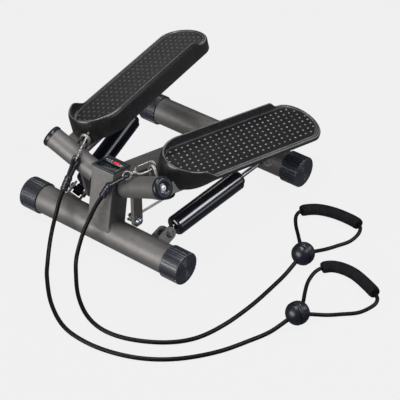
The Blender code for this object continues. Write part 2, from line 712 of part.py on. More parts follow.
def pedal(side, pivot):
    """Tray as one closed skin: floor, wall, rim, skirt and underside."""
    outline = tray_outline()
    centre = Vector((0, PEDAL_LENGTH / 2))
    half = Vector((PEDAL_WIDTH / 2, PEDAL_LENGTH / 2))

    def ring(inset, height):
        scale = Vector(((half.x - inset) / half.x, (half.y - inset) / half.y))
        return [shape.verts.new((side * x * scale.x, centre.y + (y - centre.y) * scale.y,
                                 height(x, y))) for x, y in outline]

    shape = bmesh.new()
    rings = [
        ring(WALL_THICK + 0.8 * MM, lambda x, y: 0.0),
        ring(WALL_THICK, lambda x, y: 0.4 * wall_height(x, y)),
        ring(WALL_THICK - 1.2 * MM, lambda x, y: wall_height(x, y) - 0.5 * MM),
        ring(WALL_THICK / 2, wall_height),
        ring(0.6 * MM, lambda x, y: wall_height(x, y) - 0.8 * MM),
        ring(0.0, lambda x, y: wall_height(x, y) * 0.5 - 1.5 * MM),
        ring(0.0, lambda x, y: -skirt_depth(x, y)),
        ring(3.0 * MM, lambda x, y: -skirt_depth(x, y)),
        ring(4.0 * MM, lambda x, y: -FLOOR_THICK),
    ]
    shape.faces.new(rings[0])
    shape.faces.new(reversed(rings[-1]))
    count = len(outline)
    for upper, lower in zip(rings, rings[1:]):
        for k in range(count):
            after = (k + 1) % count
            shape.faces.new((upper[k], lower[k], lower[after], upper[after]))
    bmesh.ops.recalc_face_normals(shape, faces=shape.faces)
    name = "pedal_" + SIDE_NAMES[side]
    mesh = bpy.data.meshes.new(name)
    shape.to_mesh(mesh)
    shape.free()
    tray = bpy.data.objects.new(name, mesh)
    finish_object(tray, name, pivot, "tray_plastic", pedal_matrix(side))
    notch = box(name + "_notch", pivot, "tray_plastic",
                (ARM_OUTER - ARM_INNER + 2 * GAP, 0.10, ARM_THICK + 2 * GAP),
                mirrored(matrix_at(((ARM_INNER + ARM_OUTER) / 2, 0.05,
                                    ARM_TOP - ARM_THICK / 2)), side))
    return combine(tray, notch)


# --- levers, cable and pulley -----------------------------------------------------

def lever_matrix(side):
    """Frame of the lever's bolt in the sleeve's frame; upright on a lowered arm."""
    upright = Matrix.Translation(LEVER_BOLT)
    return mirrored(sleeve_matrix(RIGHT, ARM_LOW).inverted() @ upright, side)


def lever(side, pivot):
    """Flat bar down from the sleeve with a round lower end and a bolt hole."""
    name = "lever_" + SIDE_NAMES[side]
    half = LEVER_WIDTH / 2
    top = LEVER_TOP_Z - LEVER_BOLT.z
    outline = [(half, top), (-half, top)] + arc_points((0, 0), half, math.pi, 2 * math.pi, 14)
    turn = matrix_at((0, 0, 0), (math.pi / 2, 0, math.pi / 2))
    bar = prism(name, pivot, "frame_paint", outline, LEVER_THICK, lever_matrix(side) @ turn)
    saddle = rod(name + "_saddle", pivot, "frame_paint", SLEEVE_R + GAP, 0.2,
                 Matrix.Identity(4), axis="X", sides=36)
    combine(bar, saddle)
    hole = rod(name + "_hole", pivot, "frame_paint", 4.0 * MM + GAP, 0.03,
               lever_matrix(side), axis="X")
    return combine(bar, hole)


def lever_bolt(side, pivot):
    """Zinc bolt through the lever; its inner end carries the cable's eye."""
    outer = LEVER_THICK / 2 + GAP
    inner = LEVER_BOLT.x - CABLE_EYE_X
    profile = [(0, outer + 6.0 * MM), (5.0 * MM, outer + 6.0 * MM), (6.5 * MM, outer + 4.5 * MM),
               (6.5 * MM, outer), (4.0 * MM, outer), (4.0 * MM, -outer),
               (8.5 * MM, -outer), (8.5 * MM, -outer - 1.6 * MM), (4.0 * MM, -outer - 1.6 * MM),
               (4.0 * MM, -inner - 3.0 * MM), (7.0 * MM, -inner - 3.0 * MM),
               (7.0 * MM, -inner - 6.0 * MM), (0, -inner - 6.0 * MM)]
    turn = mirrored(matrix_at((0, 0, 0), (0, math.pi / 2, 0)), side)
    return turned("lever_bolt_" + SIDE_NAMES[side], pivot, "zinc", profile,
                  lever_matrix(side) @ turn, steps=16)


def pulley_matrix():
    """Pulley frame: Z square to the beam, X across, in the plane of the two cables."""
    drop = (PULLEY_Y - LEVER_BOLT.y) * math.tan(BEAM_SLOPE)
    return matrix_at((0, PULLEY_Y, LEVER_BOLT.z - drop), (-BEAM_SLOPE, 0, 0))


def pulley_wheel():
    half = PULLEY_THICK / 2
    root = PULLEY_PITCH - CABLE_R - GAP
    axis = add_empty("pulley_axis", frame, pulley_matrix())
    profile = [(PULLEY_BORE, half), (PULLEY_R, half), (PULLEY_R, half - 1.5 * MM),
               (root, CABLE_R + GAP), (root, -CABLE_R - GAP), (PULLEY_R, 1.5 * MM - half),
               (PULLEY_R, -half), (PULLEY_BORE, -half)]
    return turned("pulley_wheel", axis, "dark_plastic", profile, Matrix.Identity(4), steps=28)


def pulley_bolt():
    """Shoulder bolt that hangs the pulley under the beam."""
    half = PULLEY_THICK / 2 + GAP
    beam_top = BEAM_TOP_Z_AT_POST - (PULLEY_Y - BEAM_TOP_Y) * math.tan(BEAM_SLOPE)
    under = (beam_top - pulley_matrix().translation.z) * math.cos(BEAM_SLOPE) - BEAM_DEPTH
    top = under - GAP
    profile = [(0, top), (10.0 * MM, top), (10.0 * MM, half), (6.0 * MM, half),
               (6.0 * MM, -half), (10.5 * MM, -half), (10.5 * MM, -half - 5.0 * MM),
               (0, -half - 5.0 * MM)]
    return turned("pulley_bolt", frame, "zinc", profile, pulley_matrix(), steps=20)


def cable_eye(side):
    """Where a cable leaves its lever, in the pulley's frame."""
    bolt = mirrored(Matrix.Translation(LEVER_BOLT), RIGHT)
    point = sleeve_matrix(RIGHT, ARM_LOW).inverted() @ bolt.translation
    world = mirrored(Matrix.Translation(sleeve_matrix(RIGHT, ARM_ANGLE[side]) @ point), side)
    spot = world.translation
    spot.x -= side * (LEVER_BOLT.x - CABLE_EYE_X)
    return pulley_matrix().inverted() @ spot


def tangent_point(side):
    """Where the cable meets the pulley's pitch circle, in the pulley's frame."""
    eye = cable_eye(side)
    reach = math.hypot(eye.x, eye.y)
    angle = math.atan2(eye.y, eye.x * side) + math.acos(PULLEY_PITCH / reach)
    return Vector((side * PULLEY_PITCH * math.cos(angle), PULLEY_PITCH * math.sin(angle), 0))


def cable_run(side):
    """Steel cable from the eye on the lever's bolt to the pulley."""
    eye = cable_eye(side)
    end = tangent_point(side)
    along = (end - eye).normalized()
    points = [eye + along * (4.0 * MM + CABLE_R + 2 * GAP), end - along * GAP / 2]
    return wire("cable_run_" + SIDE_NAMES[side], frame, "steel_cable", points, CABLE_R,
                pulley_matrix())


def cable_wrap():
    """The stretch of cable that lies round the rear of the pulley."""
    ends = {side: tangent_point(side) for side in SIDE_NAMES}
    start = math.atan2(ends[RIGHT].y, ends[RIGHT].x)
    stop = math.atan2(ends[LEFT].y, ends[LEFT].x) % (2 * math.pi)
    margin = GAP / PULLEY_PITCH
    arc = arc_points((0, 0), PULLEY_PITCH, start + margin, stop - margin, 22)
    return wire("cable_wrap", frame, "steel_cable", [(x, y, 0) for x, y in arc], CABLE_R,
                pulley_matrix())


# --- dampers ----------------------------------------------------------------------

def damper_head(angle):
    """Upper pivot of the right damper in the machine frame, for an arm angle."""
    return sleeve_matrix(RIGHT, angle) @ DAMPER_HEAD


def damper_axis():
    """Axis of the damper's foot pin: square to both of its end positions."""
    low = damper_head(ARM_LOW) - DAMPER_FOOT
    high = damper_head(ARM_HIGH) - DAMPER_FOOT
    return low.cross(high).normalized()


def damper_matrix(side):
    """Damper frame: origin at the foot pin, X along it, Y towards the upper pivot."""
    reach = damper_head(ARM_ANGLE[side]) - DAMPER_FOOT
    return mirrored(axes_matrix(DAMPER_FOOT, damper_axis(), reach), side)


def damper_reach(side):
    return (damper_head(ARM_ANGLE[side]) - DAMPER_FOOT).length


def channel_outline(reach, base):
    """A U seen along its fold: two ears to +Y of a base at -reach."""
    wide = EAR_GAP / 2 + EAR_THICK
    slim = EAR_GAP / 2
    return [(-wide, EAR_R), (-wide, -reach), (wide, -reach), (wide, EAR_R),
            (slim, EAR_R), (slim, base - reach), (-slim, base - reach), (-slim, EAR_R)]


def clevis(name, parent, reach, base, matrix):
    """Two-eared bracket about a pin at the origin, with its base towards -Y."""
    outline = channel_outline(reach, base)
    ears = prism(name, parent, "frame_paint", outline, 2 * EAR_R, matrix)
    shape = arc_points((0, 0), EAR_R, 0, math.pi, 16) + [(-EAR_R, -reach - 1 * MM),
                                                        (EAR_R, -reach - 1 * MM)]
    outline = [(y, -z) for z, y in shape]
    turn = matrix_at((0, 0, 0), (math.pi / 2, 0, math.pi / 2))
    form = prism(name + "_form", parent, "frame_paint", outline, 0.05, matrix @ turn)
    return combine(ears, form, "INTERSECT")


def damper_bracket(side):
    """Lower clevis, welded to the back of the front tube."""
    name = "damper_bracket_" + SIDE_NAMES[side]
    tube_centre = Vector((DAMPER_FOOT.x, 0, CAP_R))
    away = DAMPER_FOOT - tube_centre
    place = mirrored(axes_matrix(DAMPER_FOOT, damper_axis(), away), side)
    bracket = clevis(name, frame, 21.0 * MM, 5.0 * MM, place)
    hole = rod(name + "_hole", frame, "frame_paint", PIN_R + GAP, 0.06, place, axis="X")
    combine(bracket, hole)
    saddle = rod(name + "_saddle", frame, "frame_paint", TUBE_R + GAP, 0.12,
                 mirrored(matrix_at(tube_centre), side), axis="X", sides=40)
    return combine(bracket, saddle)


def pin(name, parent, radius, clearance, matrix):
    """Clevis pin with a head outside each ear."""
    wide = EAR_GAP / 2 + EAR_THICK + clearance
    profile = [(0, wide + 3.2 * MM), (4.2 * MM, wide + 3.2 * MM), (6.2 * MM, wide + 2.0 * MM),
               (6.2 * MM, wide), (radius, wide), (radius, -wide), (5.6 * MM, -wide),
               (5.6 * MM, -wide - 2.5 * MM), (0, -wide - 2.5 * MM)]
    return turned(name, parent, "zinc", profile, matrix, steps=16)


def damper_pin(side):
    turn = mirrored(matrix_at((0, 0, 0), (0, math.pi / 2, 0)), side)
    place = mirrored(axes_matrix(DAMPER_FOOT, damper_axis(), (0, 1, 0)), side)
    return pin("damper_pin_" + SIDE_NAMES[side], frame, PIN_R, GAP, place @ turn)


def rod_bracket(side, pivot):
    """Upper clevis, hung under the arm, with its pin riveted in the ears."""
    name = "rod_bracket_" + SIDE_NAMES[side]
    place = mirrored(matrix_at(DAMPER_HEAD, (-math.pi / 2, 0, 0)), side)
    reach = ARM_TOP - ARM_THICK - GAP - DAMPER_HEAD.z
    bracket = clevis(name, pivot, reach, 1.6 * MM, place)
    rivet = pin(name + "_pin", pivot, ROD_PIN_R, -GAP,
                mirrored(matrix_at(DAMPER_HEAD, (0, math.pi / 2, 0)), side))
    return combine(bracket, rivet, "UNION")


def lug(name, parent, radius, bore, matrix):
    """Cylindrical eye of a damper's end, across its axis, and its bore."""
    eye = rod(name, parent, "gloss_black", radius, LUG_WIDTH, matrix, axis="X")
    hole = rod(name + "_hole", parent, "gloss_black", bore, 0.03, matrix, axis="X")
    return eye, hole


def damper_cylinder(side, hinge):
    """Pressure tube with necked ends, open at the top for the rod, and a foot eye."""
    name = "damper_cylinder_" + SIDE_NAMES[side]
    start = DAMPER_START
    top = start + DAMPER_LENGTH
    bore = ROD_R + GAP
    floor = top - ROD_INSIDE - 0.012
    neck = DAMPER_R - 5.0 * MM
    profile = [(0, floor), (bore, floor), (bore, top), (neck, top),
               (neck + 2.0 * MM, top - 1.5 * MM), (neck + 2.0 * MM, top - 4.5 * MM),
               (DAMPER_R, top - 8.5 * MM), (DAMPER_R, start + 5.0 * MM),
               (DAMPER_R - 1.5 * MM, start + 2.0 * MM), (DAMPER_R - 4.5 * MM, start),
               (6.0 * MM, start), (6.0 * MM, 6.2 * MM), (0, 6.2 * MM)]
    along = matrix_at((0, 0, 0), (-math.pi / 2, 0, 0))
    body = turned(name, hinge, "gloss_black", profile, along, steps=24)
    eye, hole = lug(name + "_eye", hinge, LUG_R, PIN_R + GAP, Matrix.Identity(4))
    combine(body, eye, "UNION")
    return combine(body, hole)


def damper_rod(side, slide):
    """Chrome rod with an eye that turns loosely on the arm's pin."""
    name = "damper_rod_" + SIDE_NAMES[side]
    reach = damper_reach(side)
    low = DAMPER_START + DAMPER_LENGTH - ROD_INSIDE + (reach - damper_reach(RIGHT))
    length = reach - low
    bar = rod(name, slide, "chrome", ROD_R, length, matrix_at((0, low + length / 2, 0)), axis="Y")
    head = matrix_at((0, reach, 0))
    eye, hole = lug(name + "_eye", slide, ROD_LUG_R, ROD_PIN_R + ROD_SLACK, head)
    combine(bar, eye, "UNION")
    return combine(bar, hole)


# --- bands ------------------------------------------------------------------------

def hook_eye(side, pivot):
    """Bent-wire staple on the arm that a snap hook clips to."""
    foot = ARM_TOP + GAP
    bend = EYE_PLACE.z - EYE_HALF
    arc = arc_points((0, bend), EYE_HALF, 0, math.pi, 12)
    outline = [(EYE_HALF, foot)] + arc + [(-EYE_HALF, foot)]
    points = [(side * (EYE_PLACE.x + x), EYE_PLACE.y, z) for x, z in outline]
    return wire("hook_eye_" + SIDE_NAMES[side], pivot, "nickel", points, EYE_WIRE,
                Matrix.Identity(4))


def eye_top(side):
    """Middle of the staple's bow in the machine frame."""
    local = Vector((EYE_PLACE.x * side, EYE_PLACE.y, EYE_PLACE.z))
    return sleeve_matrix(side, ARM_ANGLE[side]) @ local


def hook_matrix(side):
    """Snap hook frame in the sleeve's frame: origin in the ring, Y towards the staple."""
    bow = eye_top(side)
    along = (bow - HOOK_RING[side]).normalized()
    across = sleeve_matrix(side, ARM_ANGLE[side]).to_3x3() @ Vector((0, 0, 1))
    world = axes_matrix(bow - along * HOOK_REACH, across.cross(along).cross(along), along)
    return sleeve_matrix(side, ARM_ANGLE[side]).inverted() @ world


def snap_hook(side, pivot):
    """Swivel snap hook: ring, barrel and a bent-wire hook that leaves a mouth for its gate."""
    name = "snap_hook_" + SIDE_NAMES[side]
    place = hook_matrix(side)
    line = smooth_route([(-6.4, 18.2, 0), (-3.5, 15.8, 0), (1.0, 15.0, 0), (5.4, 18.5, 0),
                         (7.2, 27.0, 0), (6.8, 37.0, 0), (5.0, 45.2, 0), (0.2, 48.2, 0),
                         (-5.2, 45.4, 0), (-6.9, 40.2, 0)], 2.6)
    body = wire_mesh(name, pivot, "nickel", [Vector(p) * MM for p in line], HOOK_WIRE, place,
                     resolution=1)
    barrel = rod(name + "_barrel", pivot, "nickel", 3.3 * MM, 10.0 * MM,
                 place @ matrix_at((0, 10.5 * MM, 0)), axis="Y", sides=20)
    combine(body, barrel, "UNION")
    loop = [(RING_R * math.cos(a), RING_R * math.sin(a), 0)
            for a in (2 * math.pi * k / 16 for k in range(16))]
    ring = wire_mesh(name + "_ring", pivot, "nickel", loop, 1.6 * MM, place, closed=True,
                     resolution=1)
    return combine(body, ring, "UNION")


def snap_gate(side, pivot):
    """Spring gate across the hook's mouth, hinged at its foot."""
    hinge = add_empty("gate_axis_" + SIDE_NAMES[side], pivot,
                      hook_matrix(side) @ matrix_at((-6.4 * MM, 21.0 * MM, 0)))
    return wire("snap_gate_" + SIDE_NAMES[side], hinge, "nickel",
                [(0, 0, 0), (-0.3 * MM, 9 * MM, 0), (-0.5 * MM, 18.2 * MM, 0)], 1.5 * MM,
                Matrix.Identity(4))


def ferrule_matrix(side):
    """Ferrule frame: origin at its lower mouth, Z up towards the snap hook's ring."""
    mouth = Vector(BAND_ROUTE[side][0])
    after = Vector(BAND_ROUTE[side][1])
    up = (mouth - after).normalized()
    frame_z = axes_matrix(mouth, up, (0, 1, 0))
    return frame_z @ matrix_at((0, 0, 0), (0, math.pi / 2, 0))


def band_ferrule(side):
    """Crimped ferrule with the loop that passes through the snap hook's ring."""
    name = "band_ferrule_" + SIDE_NAMES[side]
    place = ferrule_matrix(side)
    socket = BAND_R + GAP
    floor = 10.0 * MM
    profile = [(0, FERRULE_LENGTH), (4.5 * MM, FERRULE_LENGTH),
               (FERRULE_R, FERRULE_LENGTH - 3.0 * MM), (FERRULE_R, 1.5 * MM),
               (FERRULE_R - 1.0 * MM, 0), (socket, 0), (socket, floor), (0, floor)]
    ferrule = turned(name, frame, "dark_plastic", profile, place, steps=20)
    sleeve_to_world = sleeve_matrix(side, ARM_ANGLE[side]) @ hook_matrix(side)
    ring = place.inverted() @ sleeve_to_world.translation
    top = Vector((0, 0, FERRULE_LENGTH - 3 * MM))
    along = (ring - top).normalized()
    reach = (ring - top).length
    across = place.to_3x3().inverted() @ sleeve_to_world.to_3x3() @ Vector((0, 0, 1))
    across = (across - across.project(along)).normalized()
    half = [(3.2, 0.0), (6.0, 0.25), (7.4, 0.60), (6.6, 0.87)]
    rise = [top + along * reach * share + across * wide * MM for wide, share in half]
    fall = [top + along * reach * share - across * wide * MM for wide, share in reversed(half)]
    loop = smooth_route(rise + [ring] + fall, 3.4 * MM)
    strap = wire_mesh(name + "_strap", frame, "dark_plastic", loop, 2.1 * MM, place,
                      resolution=1)
    return combine(ferrule, strap, "UNION")


def band_tube(side):
    """Rubber pull band from its ferrule down to the floor and over it to its ball."""
    route = smooth_route(BAND_ROUTE[side], 14.5 * MM)
    return wire("band_tube_" + SIDE_NAMES[side], frame, "black_rubber", route, BAND_R,
                Matrix.Identity(4))


def band_ball(side):
    """Ball that joins the band to the handle loop, with its seam round the middle."""
    centre = BALL_CENTRE[side]
    route = BAND_ROUTE[side]
    along = Vector(route[-1]) - Vector(route[-2])
    along.z = 0
    turn = axes_matrix(centre, along, (0, 0, 1)) @ matrix_at((0, 0, 0), (0, math.pi / 2, 0))
    inner = BALL_R - 1.2 * MM
    seam = 3.0 * MM
    dome = [(inner * math.sin(a), inner * math.cos(a))
            for a in (math.pi * k / 12 for k in range(13))]
    upper = [p for p in dome if p[1] > seam]
    lower = [p for p in dome if p[1] < -seam]
    band = [(BALL_R, seam), (BALL_R, -seam)]
    profile = upper + band + lower
    profile[0] = (0, inner)
    profile[-1] = (0, -inner)
    return turned("band_ball_" + SIDE_NAMES[side], frame, "gloss_black", profile, turn, steps=20)


def handle_cord(side):
    route = smooth_route(LOOP_ROUTE[side], CORD_STEP)
    return wire("handle_cord_" + SIDE_NAMES[side], frame, "black_rubber", route, CORD_R,
                Matrix.Identity(4))


def handle_grip(side):
    """Foam tube round the middle of the handle loop."""
    name = "handle_grip_" + SIDE_NAMES[side]
    route = smooth_route(LOOP_ROUTE[side], CORD_STEP)
    count = len(route)
    stretch = route[int(GRIP_SPAN[0] * count):int(GRIP_SPAN[1] * count)]
    outside = wire_mesh(name, frame, "foam", stretch, GRIP_R, Matrix.Identity(4), resolution=4)
    over = [2 * stretch[0] - stretch[1]] + stretch + [2 * stretch[-1] - stretch[-2]]
    inside = wire_mesh(name + "_bore", frame, "foam", over, CORD_R + GAP + 0.3 * MM,
                       Matrix.Identity(4))
    return combine(outside, inside)


# --- assembly ---------------------------------------------------------------------

def build_frame():
    stabiliser("front_stabiliser", 0, FRONT_HALF)
    stabiliser("rear_stabiliser", REAR_Y, REAR_HALF)
    for side, word in SIDE_NAMES.items():
        end_cap("front_cap_" + word, 0, FRONT_HALF, side)
        end_cap("rear_cap_" + word, REAR_Y, REAR_HALF, side)
    front_post()
    centre_beam()
    monitor_housing()
    monitor_screen()
    monitor_button()
    pulley_wheel()
    pulley_bolt()
    cable_wrap()


def build_side(side):
    word = SIDE_NAMES[side]
    pivot = add_empty("pedal_pivot_" + word, frame, sleeve_matrix(side, ARM_ANGLE[side]))
    sleeve(side, pivot)
    bush_outer(side, pivot)
    fixed = add_empty("axle_frame_" + word, frame, sleeve_matrix(side, 0))
    bush_inner(side, fixed)
    axle(side, fixed)
    axle_bolt(side, fixed)
    arm(side, pivot)
    pedal(side, pivot)
    lever(side, pivot)
    lever_bolt(side, pivot)
    cable_run(side)
    damper_bracket(side)
    damper_pin(side)
    rod_bracket(side, pivot)
    hinge = add_empty("damper_hinge_" + word, frame, damper_matrix(side))
    damper_cylinder(side, hinge)
    damper_rod(side, hinge)
    hook_eye(side, pivot)
    snap_hook(side, pivot)
    snap_gate(side, pivot)
    band_ferrule(side)
    band_tube(side)
    band_ball(side)
    handle_cord(side)
    handle_grip(side)


clear_scene()
parts = new_collection("stepper")
cutters = new_collection("cutters")
layer = bpy.context.view_layer.layer_collection.children["stepper"]
bpy.context.view_layer.active_layer_collection = layer
frame = add_empty("machine_frame", None, Matrix.Translation(FRAME_SHIFT))
build_frame()
for each_side in SIDE_NAMES:
    build_side(each_side)
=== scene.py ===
import json
import math
import random

import bmesh
import bpy
from mathutils import Euler, Matrix, Vector


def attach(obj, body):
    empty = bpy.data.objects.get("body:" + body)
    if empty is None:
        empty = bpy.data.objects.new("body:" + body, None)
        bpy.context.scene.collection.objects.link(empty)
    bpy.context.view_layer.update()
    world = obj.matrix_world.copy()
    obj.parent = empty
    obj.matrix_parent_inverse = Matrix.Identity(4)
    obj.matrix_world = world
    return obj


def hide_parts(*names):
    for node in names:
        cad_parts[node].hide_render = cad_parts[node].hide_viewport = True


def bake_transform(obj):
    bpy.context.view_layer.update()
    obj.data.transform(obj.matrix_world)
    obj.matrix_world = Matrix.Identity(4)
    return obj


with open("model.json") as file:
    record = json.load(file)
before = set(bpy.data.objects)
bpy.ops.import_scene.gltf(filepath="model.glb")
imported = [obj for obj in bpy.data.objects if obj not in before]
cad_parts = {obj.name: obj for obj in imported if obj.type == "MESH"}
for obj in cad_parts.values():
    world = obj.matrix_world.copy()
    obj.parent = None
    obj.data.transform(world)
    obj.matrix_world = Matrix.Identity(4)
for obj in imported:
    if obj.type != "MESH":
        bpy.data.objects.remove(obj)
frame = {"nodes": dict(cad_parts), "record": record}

MM = 0.001
RIGHT, LEFT = 1, -1
WORDS = {RIGHT: "right", LEFT: "left"}
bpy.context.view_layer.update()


def mm(*lengths):
    """Lengths in millimetres as metres."""
    return tuple(length * MM for length in lengths)


# The machine frame of the CAD: floor level, under the middle of the front tube.
SHIFT = Vector((-7.22, -180.39, 0.0)) * MM
MACHINE = Matrix.Translation(SHIFT)


# --- camera, light and floor ------------------------------------------------------

CAMERA_AZIMUTH, CAMERA_ELEVATION = math.radians(37.60), math.radians(38.04)
CAMERA_ROLL = math.radians(-0.33)
CAMERA_TARGET = MACHINE @ Vector((0.1030, 0.1243, 0.0600))
CAMERA_DISTANCE = 2.3524
WHITE = (1, 1, 1)
LIT_CENTRE = (0.0, -0.05, 0.08)
LIGHTS = (
    # name, place, width and height, power, colour
    ("key", (-0.50, -2.05, 0.64), (1.7, 1.10), 38.0, WHITE),
    ("right", (1.02, 0.28, 1.10), (1.1, 0.50), 13.0, (0.93, 0.95, 1.0)),
    ("horizon", (1.85, 0.85, 0.30), (1.5, 0.5), 3.0, (0.85, 0.88, 1.0)),
    ("top", (-0.15, -0.25, 1.9), (1.2, 0.20), 19.0, WHITE),
    ("back", (-0.9, 1.1, 1.1), (0.9, 0.35), 2.0, WHITE),
)
FLOOR_HALF, FLOOR_DROP = 60.0, 0.0005


def add_object(name, data):
    obj = bpy.data.objects.new(name, data)
    bpy.context.scene.collection.objects.link(obj)
    return obj


def aim(obj, target, roll=0.0):
    look = (Vector(target) - obj.location).to_track_quat("-Z", "Y")
    obj.rotation_euler = (look.to_matrix() @ Matrix.Rotation(roll, 3, "Z")).to_euler()


def add_camera():
    data = bpy.data.cameras.new("camera")
    data.sensor_width = 36.0
    data.lens = 126.6
    data.clip_end = 50
    camera = add_object("camera", data)
    level = math.cos(CAMERA_ELEVATION)
    back = Vector((math.sin(CAMERA_AZIMUTH) * level, -math.cos(CAMERA_AZIMUTH) * level,
                   math.sin(CAMERA_ELEVATION)))
    camera.location = CAMERA_TARGET + back * CAMERA_DISTANCE
    aim(camera, CAMERA_TARGET, CAMERA_ROLL)
    bpy.context.scene.camera = camera


def add_lights():
    for name, place, size, power, colour in LIGHTS:
        data = bpy.data.lights.new(name, "AREA")
        data.shape = "RECTANGLE"
        data.size, data.size_y = size
        data.energy = power
        data.color = colour
        lamp = add_object(name, data)
        lamp.location = place
        aim(lamp, LIT_CENTRE)


def add_studio():
    """Dim even surroundings, five lamps and a pale floor that glows like lit paper."""
    scene = bpy.context.scene
    scene.view_settings.view_transform = "Standard"
    world = bpy.data.worlds.new("studio")
    world.use_nodes = True
    surroundings = world.node_tree.nodes["Background"].inputs
    surroundings["Color"].default_value = (0.96, 0.96, 1.0, 1)
    surroundings["Strength"].default_value = 0.09
    scene.world = world
    add_lights()
    corners = [(x * FLOOR_HALF, y * FLOOR_HALF, 0) for x, y in ((-1, -1), (1, -1), (1, 1), (-1, 1))]
    floor = mesh_object("floor", corners, [(0, 1, 2, 3)])
    floor.location.z = -FLOOR_DROP
    floor.visible_glossy = False
    mat, shader, _ = new_material("floor_paper", (0.02, 0.02, 0.02), 0.9)
    shader.inputs["Specular IOR Level"].default_value = 0.0
    shader.inputs["Emission Color"].default_value = (1, 1, 1, 1)
    shader.inputs["Emission Strength"].default_value = 0.85
    floor.data.materials.append(mat)


# --- mesh helpers -----------------------------------------------------------------

def mesh_object(name, verts, faces, matrix=None):
    mesh = bpy.data.meshes.new(name)
    mesh.from_pydata([tuple(v) for v in verts], [], faces)
    mesh.validate()
    if matrix is not None:
        mesh.transform(matrix)
    return add_object(name, mesh)


def object_from(name, shape, matrix=None):
    """An object made of a bmesh, which is used up."""
    mesh = bpy.data.meshes.new(name)
    shape.to_mesh(mesh)
    shape.free()
    if matrix is not None:
        mesh.transform(matrix)
    return add_object(name, mesh)


def smooth(obj, angle):
    obj.data.shade_smooth()
    obj.data.set_sharp_from_angle(angle=math.radians(angle))
    return obj


def solid(name, verts, faces, angle, matrix=None):
    """A mesh with its normals outwards, smooth but for the edges sharper than the angle."""
    obj = mesh_object(name, verts, faces, matrix)
    shape = bmesh.new()
    shape.from_mesh(obj.data)
    bmesh.ops.remove_doubles(shape, verts=shape.verts, dist=1e-7)
    bmesh.ops.recalc_face_normals(shape, faces=shape.faces)
    shape.to_mesh(obj.data)
    shape.free()
    return smooth(obj, angle)


def turns(count):
    """Evenly spaced angles of a full circle."""
    return [2 * math.pi * k / count for k in range(count)]


def stack(rings):
    """Rings of points as one list of vertices, and the vertex numbers of each ring."""
    verts, numbers = [], []
    for ring in rings:
        numbers.append(list(range(len(verts), len(verts) + len(ring))))
        verts += ring
    return verts, numbers


def quads(a, b):
    """Faces between two rings of vertex numbers. One of them may be a single point."""
    steps = max(len(a), len(b))
    faces = []
    for k in range(steps):
        n = (k + 1) % steps
        if len(a) == 1:
            faces.append((a[0], b[k], b[n]))
        elif len(b) == 1:
            faces.append((a[k], b[0], a[n]))
        else:
            faces.append((a[k], b[k], b[n], a[n]))
    return faces


def skin(numbers, closed=False):
    """Faces between neighbouring rings. closed joins the last ring to the first."""
    pairs = list(zip(numbers, numbers[1:]))
    if closed:
        pairs.append((numbers[-1], numbers[0]))
    return [face for a, b in pairs for face in quads(a, b)]


def lathe(name, profile, matrix, steps=64, angle=35):
    """Profile of (radius, height) pairs turned about Z: on the axis at both ends, or a ring."""
    verts, numbers = stack([(r * math.cos(a), r * math.sin(a), z) for a in turns(steps if r else 1)]
                           for r, z in profile)
    return solid(name, verts, skin(numbers, closed=profile[0][0] > 0), angle, matrix)


def offsets(r, z, *steps):
    """Profile points at distances in millimetres from (r, z)."""
    return [(r + dr * MM, z + dz * MM) for dr, dz in steps]


def arc(centre, radius, start, end, count):
    cx, cy = centre
    return [(cx + radius * math.cos(start + (end - start) * k / count),
             cy + radius * math.sin(start + (end - start) * k / count))
            for k in range(count + 1)]


def spline(points, spacing):
    """Evenly spaced points along a smooth curve through the given ones."""
    knots = [Vector(p) for p in points]
    knots = [2 * knots[0] - knots[1]] + knots + [2 * knots[-1] - knots[-2]]
    fine = []
    for i in range(1, len(knots) - 2):
        a, b, c, d = knots[i - 1:i + 3]
        for k in range(24):
            t = k / 24
            fine.append(0.5 * (2 * b + (c - a) * t + (2 * a - 5 * b + 4 * c - d) * t ** 2
                               + (3 * b - a - 3 * c + d) * t ** 3))
    fine.append(knots[-2])
    lengths = [0.0]
    for p, q in zip(fine, fine[1:]):
        lengths.append(lengths[-1] + (q - p).length)
    count = max(2, round(lengths[-1] / spacing))
    route, place = [], 0
    for k in range(count + 1):
        target = lengths[-1] * k / count
        while place < len(lengths) - 2 and lengths[place + 1] < target:
            place += 1
        step = lengths[place + 1] - lengths[place]
        share = (target - lengths[place]) / step if step else 0
        route.append(fine[place].lerp(fine[place + 1], min(share, 1.0)))
    return route


def straight(start, end, count):
    return [start.lerp(end, k / count) for k in range(count + 1)]


def route_length(points):
    return sum((b - a).length for a, b in zip(points, points[1:]))


def frames_along(points, closed=False):
    """Frames of (point, side, up) that turn as little as they can along a line."""
    count = len(points)
    tangents = []
    for i in range(count):
        a = points[(i - 1) % count] if closed else points[max(i - 1, 0)]
        b = points[(i + 1) % count] if closed else points[min(i + 1, count - 1)]
        tangents.append((b - a).normalized())
    side = tangents[0].cross(Vector((0, 0, 1)))
    if side.length < 0.1:
        side = tangents[0].cross(Vector((0, 1, 0)))
    side.normalize()
    out = []
    for point, tangent in zip(points, tangents):
        side = (side - tangent * side.dot(tangent)).normalized()
        out.append((point, side, tangent.cross(side)))
    return out


def ring_at(row, radius, sides):
    """Points round one frame of a line. radius is a number or a function of the angle."""
    point, side, up = row
    ring = []
    for a in turns(sides):
        r = radius(a) if callable(radius) else radius
        ring.append(point + side * (r * math.cos(a)) + up * (r * math.sin(a)))
    return ring


def tube(name, points, radius, sides=16, closed=False):
    """A tube along points. radius is a number or a function of the share along the line."""
    rows = frames_along(points, closed)
    last = len(rows) - 1
    rings = [ring_at(row, radius(i / last) if callable(radius) else radius, sides)
             for i, row in enumerate(rows)]
    if not closed:
        rings = [[points[0]], *rings, [points[-1]]]
    verts, numbers = stack(rings)
    return solid(name, verts, skin(numbers, closed), 50)


